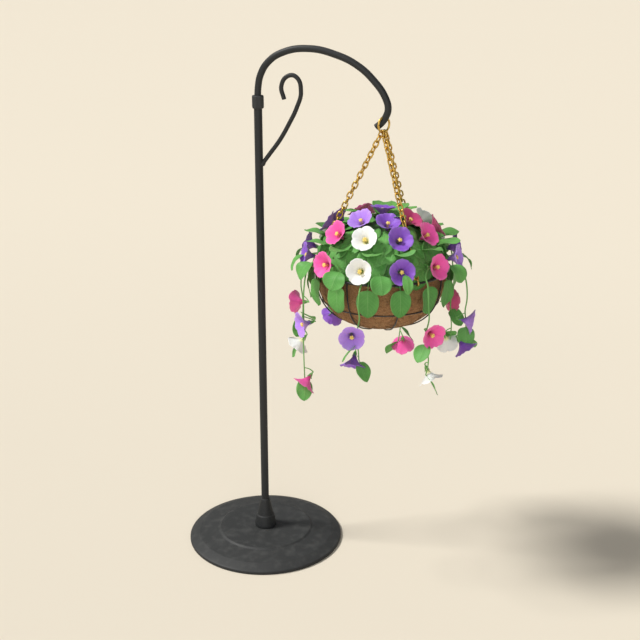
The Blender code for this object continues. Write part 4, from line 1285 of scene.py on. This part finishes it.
def shoot(index, green, looks):
    """A trailing stem with its leaves, and its blooms as pieces of their own."""
    angle, _, blooms, leaves = SHOOTS[index]
    rng = random.Random(60 + index)
    knots = trail_knots(index)
    path = smooth_path(knots, 90)
    shape = Shape()
    taper = np.linspace(STEM_RADIUS * 1.15, STEM_RADIUS * 0.75, len(path))
    add_tube(shape, path, taper, 10, marks=(0.0, 0.3, 0.35))
    for height, turn, tilt, roll in leaves:
        trail_leaf(shape, rng, stem_point(knots, height), angle + turn, tilt, roll)
    for i, (height, turn, tilt, side, colour) in enumerate(blooms):
        direction = heading(angle + turn, tilt)
        aside = heading(angle + turn + 90.0 * side) * BLOOM_ASIDE
        face = stem_point(knots, height) + aside + direction * BLOOM_AHEAD
        pedicel(shape, knots, face - direction * (BLOOM_TUBE + 0.002), direction)
        bloom = bloom_shape(200 + 10 * index + i, 0.004)
        petunia(f"trail_{index + 1}_{i + 1}", bloom, face, direction, 1.1 * index + i, colour, looks)
    add_piece(f"trail_{index + 1}", shape, [green], [f"shoot_{index + 1}"])


# ---- studio
def soft_light(name, direction, elevation, spread, strength, colour):
    """A distant light that travels along a heading, downward at its elevation."""
    lamp = bpy.data.lights.new(name, "SUN")
    lamp.energy = strength
    lamp.angle = math.radians(spread)
    lamp.color = colour
    turn = Vector(heading(direction, -elevation)).to_track_quat("-Z", "Y")
    new_object(name, lamp).rotation_euler = turn.to_euler()


def studio():
    """Pale floor, a soft key light from the left, a broad weak one in front, an even sky."""
    bpy.context.scene.view_settings.view_transform = "Standard"
    mesh = bpy.data.meshes.new("floor")
    sides = ((-1, -1), (1, -1), (1, 1), (-1, 1))
    mesh.from_pydata([(FLOOR_REACH * x, FLOOR_REACH * y, 0.0) for x, y in sides], [], [(0, 1, 2, 3)])
    mesh.materials.append(floor_paint())
    floor = new_object("floor", mesh)
    floor.location.z = -GAP

    soft_light("key", *KEY_LIGHT)
    soft_light("fill", *FILL_LIGHT)

    world = bpy.data.worlds.new("sky")
    world.use_nodes = True
    background = world.node_tree.nodes["Background"]
    background.inputs["Color"].default_value = (0.97, 0.985, 1.0, 1.0)
    background.inputs["Strength"].default_value = SKY_STRENGTH
    bpy.context.scene.world = world


def camera():
    look = Vector(heading(90.0 + CAMERA_AZIMUTH, -CAMERA_PITCH))
    data = bpy.data.cameras.new("camera")
    data.lens = CAMERA_LENS
    data.clip_end = 200.0
    ob = new_object("camera", data)
    ob.location = CAMERA_TARGET - look * CAMERA_DISTANCE
    ob.rotation_euler = look.to_track_quat("-Z", "Y").to_euler()
    bpy.context.scene.camera = ob


def build():
    camera()
    studio()
    metal = brass()
    stand(metal)
    for index in range(len(CHAIN_ANGLES)):
        chain(index, metal)
    wire = dipped_wire()
    level_wires(wire)
    wire_ribs(wire)
    fibre = coir()
    coir_liner(fibre)
    coir_strands(fibre)
    compost(soil())
    green = leaf("leaf_green", *LEAF_GREENS)
    # A painted-shade copy of the leaf material, for the mound's heart.
    shade = leaf("leaf_shade", *SHADE_GREENS)
    yellow = pollen()
    looks = {}
    for name, colours in PETALS.items():
        looks[name] = [petal(f"petal_{name}", *colours), green, yellow]
    blooms = mound_bloom_list()
    places = [(face, direction) for _, face, direction, _ in blooms]
    mound(green, shade, places)
    leaf_rows(green, places)
    mound_blooms(blooms, looks)
    for index in range(len(SHOOTS)):
        shoot(index, green, looks)


build()
